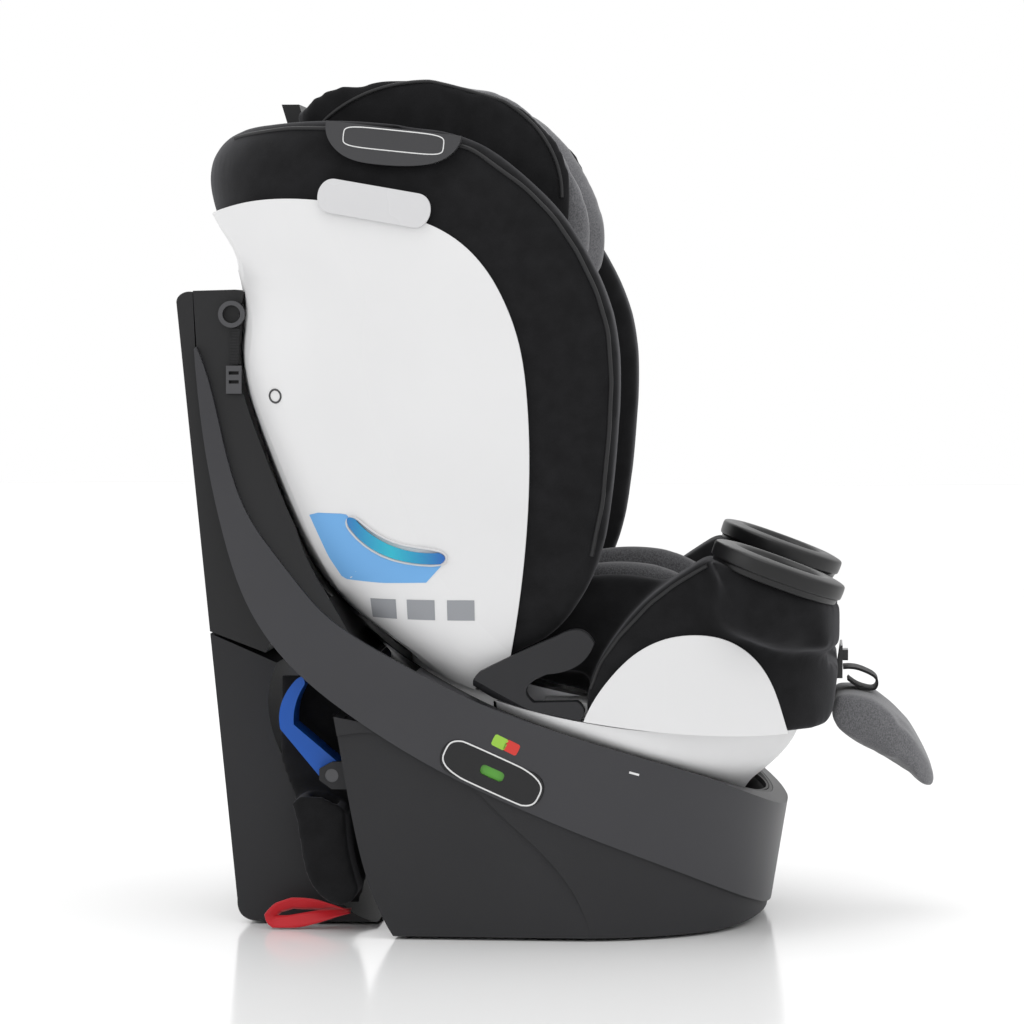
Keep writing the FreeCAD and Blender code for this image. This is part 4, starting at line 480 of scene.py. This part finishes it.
def knit(name, colour, rough, cell, depth, mottle):
    """Warp knit: tiny ribs both ways, a faint sheen and a slow drift of tone."""
    material, shader = new_material(name, colour, rough, 0.18)
    shader.inputs["Sheen Weight"].default_value = 0.18
    shader.inputs["Sheen Roughness"].default_value = 0.45
    shader.inputs["Sheen Tint"].default_value = (0.6, 0.6, 0.64, 1)
    place = add_node(material, "ShaderNodeTexCoord")
    fine = add_node(material, "ShaderNodeTexVoronoi", Scale=cell)
    wire(material, place, "Object", fine, "Vector")
    soft = add_node(material, "ShaderNodeTexNoise", Scale=55.0, Detail=4.0)
    wire(material, place, "Object", soft, "Vector")
    mix = add_node(material, "ShaderNodeMath", operation="MULTIPLY_ADD")
    mix.inputs[1].default_value = 0.6
    wire(material, fine, "Distance", mix, 0)
    wire(material, soft, "Fac", mix, 2)
    bump = add_node(material, "ShaderNodeBump", Strength=0.6, Distance=depth)
    wire(material, mix, "Value", bump, "Height")
    wire(material, bump, "Normal", shader, "Normal")
    tone = add_node(material, "ShaderNodeValToRGB")
    tone.color_ramp.elements[0].position = 0.3
    tone.color_ramp.elements[1].position = 0.7
    tone.color_ramp.elements[0].color = (*[c * (1 - mottle) for c in colour], 1)
    tone.color_ramp.elements[1].color = (*[c * (1 + mottle) for c in colour], 1)
    wire(material, soft, "Fac", tone, "Fac")
    wire(material, tone, "Color", shader, "Base Color")
    return material


black_knit = knit("black_knit", (0.0085, 0.0085, 0.0093), 0.9, 700, 0.00022, 0.25)
piping_black, _ = new_material("piping_black", (0.014, 0.014, 0.015), 0.5, 0.35)


def edge_pairs(mesh):
    """The two vertices of every edge."""
    edges = np.empty(len(mesh.edges) * 2, dtype=np.int64)
    mesh.edges.foreach_get("vertices", edges)
    return edges.reshape(-1, 2)


def relaxed(mesh, rounds, factor=0.5):
    """Plain smoothing that rounds the corners of a remeshed block."""
    spots = np.empty(len(mesh.vertices) * 3)
    mesh.vertices.foreach_get("co", spots)
    spots = spots.reshape(-1, 3)
    pairs = edge_pairs(mesh)
    count = np.zeros(len(spots))
    np.add.at(count, pairs[:, 0], 1)
    np.add.at(count, pairs[:, 1], 1)
    for _ in range(rounds):
        total = np.zeros_like(spots)
        np.add.at(total, pairs[:, 0], spots[pairs[:, 1]])
        np.add.at(total, pairs[:, 1], spots[pairs[:, 0]])
        spots += factor * (total / count[:, None] - spots)
    mesh.vertices.foreach_set("co", spots.ravel())
    mesh.update()
    return spots


def upholstered(name, node, body, material, voxel, rounds, pressure=4.0, cap=0.004,
                subdivide=True, sim=True, extras=()):
    """A padded piece: the block remeshed, rounded, inflated as cloth and finely divided."""
    last_frame = 16
    mesh = copied_mesh(node)
    if extras:
        joined = bmesh.new()
        joined.from_mesh(mesh)
        for extra in extras:
            joined.from_mesh(extra)
        joined.to_mesh(mesh)
        joined.free()
    piece = bpy.data.objects.new(name, mesh)
    bpy.context.scene.collection.objects.link(piece)
    remesh = piece.modifiers.new("even_mesh", "REMESH")
    remesh.mode = "VOXEL"
    remesh.voxel_size = voxel
    even = evaluated_mesh(piece)
    piece.modifiers.clear()
    piece.data = even
    start = relaxed(even, rounds).copy()
    if sim:
        cloth = piece.modifiers.new("inflate", "CLOTH")
        setup = cloth.settings
        setup.quality = 4
        setup.mass = 0.25
        setup.tension_stiffness = 15
        setup.compression_stiffness = 15
        setup.shear_stiffness = 8
        setup.bending_stiffness = 1.5
        setup.use_pressure = True
        setup.uniform_pressure_force = pressure
        setup.shrink_min = -0.03
        setup.effector_weights.gravity = 0
        cloth.collision_settings.use_collision = False
        cloth.collision_settings.use_self_collision = False
        cloth.point_cache.frame_start = 1
        cloth.point_cache.frame_end = last_frame
        for step in range(1, last_frame + 1):
            bpy.context.scene.frame_set(step)
        blown = evaluated_mesh(piece)
        moved = np.empty(len(blown.vertices) * 3)
        blown.vertices.foreach_get("co", moved)
        moved = moved.reshape(-1, 3)
        piece.modifiers.clear()
        bpy.context.scene.frame_set(1)
        if len(moved) == len(start) and np.isfinite(moved).all():
            shift = moved - start
            shift -= shift.mean(0)
            long = np.linalg.norm(shift, axis=1, keepdims=True)
            shift *= np.minimum(1.0, cap / np.maximum(long, 1e-9))
            even.vertices.foreach_set("co", (start + shift).ravel())
            even.update()
            relaxed(even, 2)
    even.materials.clear()
    even.materials.append(material)
    smooth_mesh(even)
    if subdivide:
        finer = piece.modifiers.new("fine", "SUBSURF")
        finer.levels = 1
        finer.render_levels = 1
    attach(piece, body)
    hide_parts(node)
    return piece


bucket = upholstered("back_bucket_cover", "back_bucket", "seat", black_knit, 0.006, 5,
                     sim=False)
bucket_tree = surface(bucket.data)
wing_line = [(-0.262, 0.7045), (-0.236, 0.712), (-0.184, 0.7175), (-0.120, 0.717), (-0.060, 0.710),
             (-0.019, 0.699), (0.029, 0.665), (0.056, 0.638), (0.076, 0.609), (0.094, 0.574),
             (0.105, 0.539), (0.109, 0.494), (0.107, 0.445), (0.101, 0.384), (0.090, 0.334)]


def inset_line(line, inset, centre):
    """The line drawn towards a point by a fixed amount."""
    out = []
    for x, z in line:
        away = Vector((centre[0] - x, centre[1] - z))
        away.normalize()
        out.append((x + away.x * inset, z + away.y * inset))
    return out


wing_middle, seam_inset, wing_inner_y = (-0.05, 0.45), 0.007, 0.12
wing_seam = resampled([(x, 0, z) for x, z in inset_line(wing_line, seam_inset, wing_middle)], 60)
wing_routes = []
for side in (-1, 1):
    route = on_side(bucket_tree, [(spot.x, spot.z) for spot in wing_seam], side, 0.0004)
    wing_routes.append([place for place in route if abs(place.y) > wing_inner_y])
new_piece("wing_piping", tube_mesh("wing_piping", wing_routes, 0.0019, piping_black), "seat",
          "black_fabric")

# ---- Padded seat pan with its cup holder bulges.
# The same black knit over foam, piped where the top meets the side. The cover is drawn over the
# pan's rim and hooks under the white pan shell.
cup_turn = Matrix.Rotation(axis_lean, 4, "Y")
cup_place = {side: Matrix.Translation((0.250, side * 0.170, 0.335)) @ cup_turn for side in (-1, 1)}
pod_profile = [(0, -0.074), (0.036, -0.074), (0.046, -0.068), (0.052, -0.055), (0.054, -0.040),
               (0.0535, -0.022), (0.042, -0.022), (0.042, -0.060), (0.038, -0.066), (0, -0.066)]
pods = [lathe(pod_profile, cup_place[side]) for side in (-1, 1)]
pan = upholstered("pan_cover_soft", "pan_cover", "seat", black_knit, 0.005, 5,
                  sim=False, extras=pods)
pan_tree = surface(pan.data)
pan_edge = [(0.084, 0.222), (0.092, 0.244), (0.109, 0.268), (0.136, 0.297), (0.158, 0.314),
            (0.186, 0.331)]
pan_inner_y = 0.15
pan_seam = resampled([(x, 0, z) for x, z in pan_edge], 24)
pan_routes = []
for side in (-1, 1):
    route = on_side(pan_tree, [(spot.x, spot.z) for spot in pan_seam], side, 0.0003)
    pan_routes.append([place for place in route if abs(place.y) > pan_inner_y])
new_piece("pan_piping", tube_mesh("pan_piping", pan_routes, 0.0018, piping_black), "seat",
          "black_fabric")

# ---- Seat and back cushions, hip bolsters.
# Heather grey polyester over soft foam. The two cushions are loose inserts held by snaps, and the
# bolsters are sewn to the black cover.


def melange(name, dark, light):
    """Heather cloth: fine fibres of two greys, and a plain weave's tiny relief."""
    material, shader = new_material(name, light, 0.92, 0.15)
    shader.inputs["Sheen Weight"].default_value = 0.25
    shader.inputs["Sheen Roughness"].default_value = 0.5
    place = add_node(material, "ShaderNodeTexCoord")
    stretch = add_node(material, "ShaderNodeMapping")
    stretch.inputs["Scale"].default_value = (900, 1900, 650)
    wire(material, place, "Object", stretch, "Vector")
    fibres = add_node(material, "ShaderNodeTexNoise", Scale=1.0, Detail=3.0)
    wire(material, stretch, "Vector", fibres, "Vector")
    tone = add_node(material, "ShaderNodeValToRGB")
    tone.color_ramp.elements[0].position = 0.33
    tone.color_ramp.elements[1].position = 0.67
    tone.color_ramp.elements[0].color = (*dark, 1)
    tone.color_ramp.elements[1].color = (*light, 1)
    wire(material, fibres, "Fac", tone, "Fac")
    wire(material, tone, "Color", shader, "Base Color")
    soft = add_node(material, "ShaderNodeTexNoise", Scale=45.0, Detail=4.0)
    wire(material, place, "Object", soft, "Vector")
    mix = add_node(material, "ShaderNodeMath", operation="MULTIPLY_ADD")
    mix.inputs[1].default_value = 0.35
    wire(material, fibres, "Fac", mix, 0)
    wire(material, soft, "Fac", mix, 2)
    bump = add_node(material, "ShaderNodeBump", Strength=0.6, Distance=0.0003)
    wire(material, mix, "Value", bump, "Height")
    wire(material, bump, "Normal", shader, "Normal")
    return material


grey_melange = melange("grey_melange", (0.10, 0.10, 0.105), (0.19, 0.19, 0.20))
grey_dark = melange("grey_melange_dark", (0.05, 0.05, 0.053), (0.12, 0.12, 0.126))
upholstered("back_cushion_soft", "back_cushion", "seat", grey_melange, 0.005, 4)
upholstered("seat_cushion_soft", "seat_cushion", "seat", grey_melange, 0.005, 4)
upholstered("hip_bolsters_soft", "hip_bolsters", "seat", grey_dark, 0.005, 4)

# ---- Front flap.
# A padded flap of the same grey cloth, sewn to the seat's front edge. It hangs clear of the base.
flap = upholstered("front_flap_soft", "front_flap", "seat", grey_melange, 0.004, 4,
                   cap=0.003)
flap_root, flap_tip, flap_fade = 0.300, 0.392, 0.03
flap_forward, flap_upward = 0.003, 0.008
for spot in flap.data.vertices:
    past_root = max(0.0, min(1.0, (spot.co.x - flap_root) / flap_fade))
    before_tip = max(0.0, min(1.0, (flap_tip - spot.co.x) / flap_fade))
    reach = past_root * before_tip
    spot.co.x += flap_forward * reach
    spot.co.z += flap_upward * reach

# ---- Headrest: shell, cover, cushion and squeeze tab.
# A dark moulded shell that slides on two tubes, black knit outside, heather grey inside, a piped
# seam between them. The tab at the top frees the slide.
finish(dark_plastic, "headrest_shell", "headrest_lever")
eased(0.0012, "headrest_lever")
head_cover = upholstered("headrest_cover_soft", "headrest_cover", "headrest",
                         black_knit, 0.005, 5, cap=0.003)
upholstered("headrest_cushion_soft", "headrest_cushion", "headrest", grey_melange, 0.005,
            4, cap=0.003)

head_tree = surface(head_cover.data)
head_low, head_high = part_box("headrest_cover")
head_middle_x, head_middle_z = (head_low.x + head_high.x) / 2 - 0.004, 0.655
head_half_long, head_half_high = (head_high.x - head_low.x) * 0.485, (head_high.z - head_middle_z) * 0.955
head_routes = []
for side in (-1, 1):
    route = []
    for i in range(46):
        t = math.radians(188 - 190 * i / 45)
        spot_x = head_middle_x + math.cos(t) * head_half_long
        spot_z = head_middle_z + math.sin(t) * head_half_high
        place = hit_side(head_tree, spot_x, spot_z, side, 0.0003)
        if place is not None and abs(place.y) > 0.10:
            route.append(place)
    if len(route) > 6:
        head_routes.append(route)
if head_routes:
    new_piece("headrest_piping", tube_mesh("headrest_piping", head_routes, 0.0018, piping_black),
              "headrest", "black_fabric")

# ---- Harness: webbing, pads, chest clip, buckle, adjuster and its pull strap.
# Black polyester webbing with a ribbed weave, slid through the shell's slots; glossy black clip and
# buckle with a red push button; the pull strap ends in a sewn hand loop.


def webbing(name, colour, ribs):
    """Woven webbing: ribs across its width, with a painted highlight on the crowns and painted shade in
    the hollows.
    """
    material, shader = new_material(name, colour, 0.6, 0.3)
    place = add_node(material, "ShaderNodeTexCoord")
    rows = add_node(material, "ShaderNodeTexWave", Scale=ribs, Distortion=0.4, Detail=1.0)
    rows.bands_direction = "Z"
    wire(material, place, "Object", rows, "Vector")
    bump = add_node(material, "ShaderNodeBump", Strength=0.5, Distance=0.00025)
    wire(material, rows, "Fac", bump, "Height")
    wire(material, bump, "Normal", shader, "Normal")
    # Painted highlight and shade: the colour is lighter on the rib crowns and darker in the hollows,
    # following the same wave as the relief.
    tone = add_node(material, "ShaderNodeValToRGB")
    tone.color_ramp.elements[0].color = (*[c * 0.7 for c in colour], 1)
    tone.color_ramp.elements[1].color = (*[c * 1.3 for c in colour], 1)
    wire(material, rows, "Fac", tone, "Fac")
    wire(material, tone, "Color", shader, "Base Color")
    return material


black_webbing = webbing("black_webbing", (0.012, 0.012, 0.013), 120.0)
gloss_black = moulded("gloss_black", (0.010, 0.010, 0.011), 0.25, 1500, 0.00002, 0.05, 0.5)
button_red = moulded("button_red", (0.50, 0.012, 0.012), 0.3, 1500, 0.00002, 0.04, 0.5)
finish(black_webbing, "shoulder_straps", "crotch_strap", "adjuster_strap", "tether_strap")
finish(gloss_black, "chest_clip", "buckle", "adjuster_frame", "adjuster_button")
finish(button_red, "buckle_button")
upholstered("harness_pads_soft", "harness_pads", "seat", black_knit, 0.004, 3,
            cap=0.002)

# ---- Belt guides, grips and recline handle.
# Dark satin mouldings. The guides are screwed to the back shell, the grips to the yoke inside it,
# and the recline bar slides under the seat's front.
grip_plastic = moulded("grip_plastic", (0.040, 0.040, 0.043), 0.38, 1300, 0.00005, 0.05, 0.45)
finish(dark_plastic, "recline_handle")
finish(housing_black, "belt_guides")
finish(grip_plastic, "rotate_grip_right", "rotate_grip_left")
eased(0.0018, "belt_guides")
for side, node in ((-1, "rotate_grip_right"), (1, "rotate_grip_left")):
    low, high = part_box(node)
    middle_x, middle_z = (low.x + high.x) / 2, (low.z + high.z) / 2 + 0.002
    oblong = oval_outline(middle_x, middle_z, 0.044, 0.009, math.radians(-6), 44, 5.0)
    ring = on_side(surface(copied_mesh(node)), oblong, side, 0.0001)
    if len(ring) > 20:
        outline = tube_mesh("grip_outline", [ring], 0.0005, white_print, True)
        new_piece(f"grip_outline_{side + 2}", outline, "rotate_handle", "white_shell")

# ---- Level vials and their printed patch.
# A bent liquid vial in a pale bezel, on a pale blue printed patch without lettering, one on each
# side. It is snapped into the back shell.
vial, vial_shader = new_material("vial_liquid", (0.0, 0.3, 0.5), 0.08, 0.6)
vial_place = add_node(vial, "ShaderNodeTexCoord")
vial_axis = add_node(vial, "ShaderNodeSeparateXYZ")
wire(vial, vial_place, "Object", vial_axis, "Vector")
vial_span = add_node(vial, "ShaderNodeMapRange")
vial_span.inputs["From Min"].default_value = -0.129
vial_span.inputs["From Max"].default_value = -0.043
wire(vial, vial_axis, "X", vial_span, "Value")
vial_tone = add_node(vial, "ShaderNodeValToRGB")
vial_tone.color_ramp.elements[0].color = (0.0, 0.16, 0.45, 1)
vial_tone.color_ramp.elements[1].color = (0.0, 0.10, 0.42, 1)
middle = vial_tone.color_ramp.elements.new(0.45)
middle.color = (0.0, 0.42, 0.55, 1)
wire(vial, vial_span, "Result", vial_tone, "Fac")
wire(vial, vial_tone, "Color", vial_shader, "Base Color")
finish(vial, "level_vials")
patch_blue, _ = new_material("patch_blue", (0.16, 0.40, 0.74), 0.5, 0.3)
shell_tree = surface(copied_mesh("back_shell"))
patch_low = [(-0.1665, 0.372), (-0.150, 0.335), (-0.137, 0.3155), (-0.100, 0.3135), (-0.060, 0.3145)]
patch_high = [(-0.1575, 0.3745), (-0.131, 0.3745), (-0.110, 0.352), (-0.085, 0.338), (-0.045, 0.331)]
bezel_line = [(-0.129, 0.371), (-0.122, 0.3725), (-0.107, 0.3595), (-0.084, 0.3475), (-0.048, 0.3435),
              (-0.0405, 0.3375), (-0.046, 0.3285), (-0.086, 0.3325), (-0.112, 0.3445), (-0.1305, 0.363)]
for side in (-1, 1):
    patch = patch_mesh("level_patch", shell_tree, patch_low, patch_high, side, 0.0003, patch_blue, 8, 24)
    new_piece(f"level_patch_{side + 2}", patch, "seat", "vial")
    bezel = on_side(shell_tree, bezel_line, side, 0.0012)
    if len(bezel) > 5:
        bezel_mesh = tube_mesh("level_bezel", [bezel], 0.0013, badge_white, True)
        new_piece(f"level_bezel_{side + 2}", bezel_mesh, "seat", "white_shell")

# ---- Plain labels, shell eyelets and band marks.
# Three blank paper labels stuck on the back shell, a dark plastic eyelet pressed into it above
# them, and a short white mark printed on the band, on each side.
label_low, label_high = 0.281, 0.299
label_grey, _ = new_material("label_grey", (0.30, 0.31, 0.33), 0.55, 0.3)
for side in (-1, 1):
    for number, (left, right) in enumerate(((-0.112, -0.088), (-0.078, -0.053), (-0.042, -0.018))):
        upper = [(left, label_high), (right, label_high)]
        lower = [(left, label_low), (right, label_low)]
        label = patch_mesh("label", shell_tree, lower, upper, side, 0.0003, label_grey, 4, 6)
        new_piece(f"label_{side + 2}_{number}", label, "seat", "white_shell")
    eye = on_side(shell_tree, oval_outline(-0.195, 0.477, 0.0058, 0.0058, 0, 20, 2.0), side, 0.0003)
    if len(eye) > 15:
        eyelet = tube_mesh("shell_eyelet", [eye], 0.0009, grip_plastic, True)
        new_piece(f"shell_eyelet_{side + 2}", eyelet, "seat", "dark_plastic")
    mark = patch_mesh("band_mark", band_tree, [(0.1175, 0.1485), (0.1260, 0.1460)],
                      [(0.1180, 0.1503), (0.1265, 0.1478)], side, 0.0003, white_print, 3, 5)
    new_piece(f"band_mark_{side + 2}", mark, "base", "white_shell")

# ---- Cup holders.
# Black mouldings with a broad flat collar over the pan's bulge. They are pushed into the pan, and
# lift out to be washed.
cup_plastic = moulded("cup_plastic", (0.0065, 0.0065, 0.007), 0.40, 1200, 0.00005, 0.06, 0.4)
cup_profile = [(0, -0.062), (0.031, -0.062), (0.0345, -0.059), (0.0395, -0.024), (0.042, -0.0225),
               (0.0560, -0.0222), (0.0570, -0.0212), (0.0574, -0.0172), (0.0582, -0.0164),
               (0.0596, -0.0158), (0.0602, -0.0146), (0.0605, -0.0060), (0.0600, -0.0038),
               (0.0582, -0.0024), (0.0475, -0.0004), (0.0430, -0.0008), (0.0396, -0.0030),
               (0.0380, -0.0062), (0.0366, -0.014), (0.0325, -0.0575), (0.030, -0.0595), (0, -0.0595)]
for side, node, body in ((-1, "cup_holder_right", "cup_right"), (1, "cup_holder_left", "cup_left")):
    mesh = lathe(cup_profile, cup_place[side], 72)
    mesh.materials.append(cup_plastic)
    smooth_mesh(mesh)
    cup = new_piece(f"{node}_turned", mesh, body, "dark_plastic", node)
    cup_round = cup.modifiers.new("fine", "SUBSURF")
    cup_round.levels = 1
    cup_round.render_levels = 1

# ---- Anchor pouch, red pull strap.
# A thin black fabric pouch tied in the belt slot, and a red ribbon loop at the foot that draws the
# anchors out.
red_ribbon, red_shader = new_material("red_ribbon", (0.55, 0.006, 0.015), 0.45, 0.4)
red_shader.inputs["Sheen Weight"].default_value = 0.2
ribbon_way = [((-0.136, -0.133, 0.0155), 0.2), ((-0.150, -0.134, 0.0185), 0.5),
              ((-0.168, -0.136, 0.0215), 0.9), ((-0.186, -0.138, 0.0225), 1.1),
              ((-0.199, -0.140, 0.0185), 1.0), ((-0.206, -0.141, 0.0115), 0.9),
              ((-0.2025, -0.142, 0.0062), 1.0), ((-0.190, -0.142, 0.0058), 1.25),
              ((-0.174, -0.141, 0.0085), 1.2), ((-0.158, -0.139, 0.0120), 0.9),
              ((-0.145, -0.137, 0.0145), 0.5), ((-0.134, -0.135, 0.0160), 0.2)]
ribbon_half, ribbon_steps, floor_gap = 0.0062, 60, 0.0012
strands = (-1.0, -0.5, 0.0, 0.5, 1.0)
ribbon_middle = resampled([place for place, _ in ribbon_way], ribbon_steps)
ribbon_turn = np.interp(np.linspace(0, 1, ribbon_steps), np.linspace(0, 1, len(ribbon_way)),
                        [lean for _, lean in ribbon_way])
ribbon_points, ribbon_faces = [], []
for i, (middle_spot, lean) in enumerate(zip(ribbon_middle, ribbon_turn)):
    ahead = ribbon_middle[min(ribbon_steps - 1, i + 1)] - ribbon_middle[max(0, i - 1)]
    ahead.normalize()
    across = Vector((0, -1, 0))
    upward = ahead.cross(across).normalized()
    wide = (across * math.cos(lean) + upward * math.sin(lean)) * ribbon_half
    for part in strands:
        spot = middle_spot + wide * part
        ribbon_points.append((spot.x, spot.y, max(floor_gap, spot.z)))
for i in range(ribbon_steps - 1):
    for k in range(len(strands) - 1):
        a = i * len(strands) + k
        b = a + len(strands)
        ribbon_faces.append((a, a + 1, b + 1, b))
ribbon_mesh = bpy.data.meshes.new("ribbon")
ribbon_mesh.from_pydata(ribbon_points, [], ribbon_faces)
ribbon_mesh.materials.append(red_ribbon)
smooth_mesh(ribbon_mesh)
ribbon = new_piece("red_ribbon_loop", ribbon_mesh, "base", "red_ribbon", "red_pull_strap")
ribbon_thick = ribbon.modifiers.new("thickness", "SOLIDIFY")
ribbon_thick.thickness = 0.0008
ribbon_thick.offset = 0
upholstered("anchor_pouch_soft", "anchor_pouch", "base", black_knit, 0.003, 2,
            sim=False, subdivide=False)
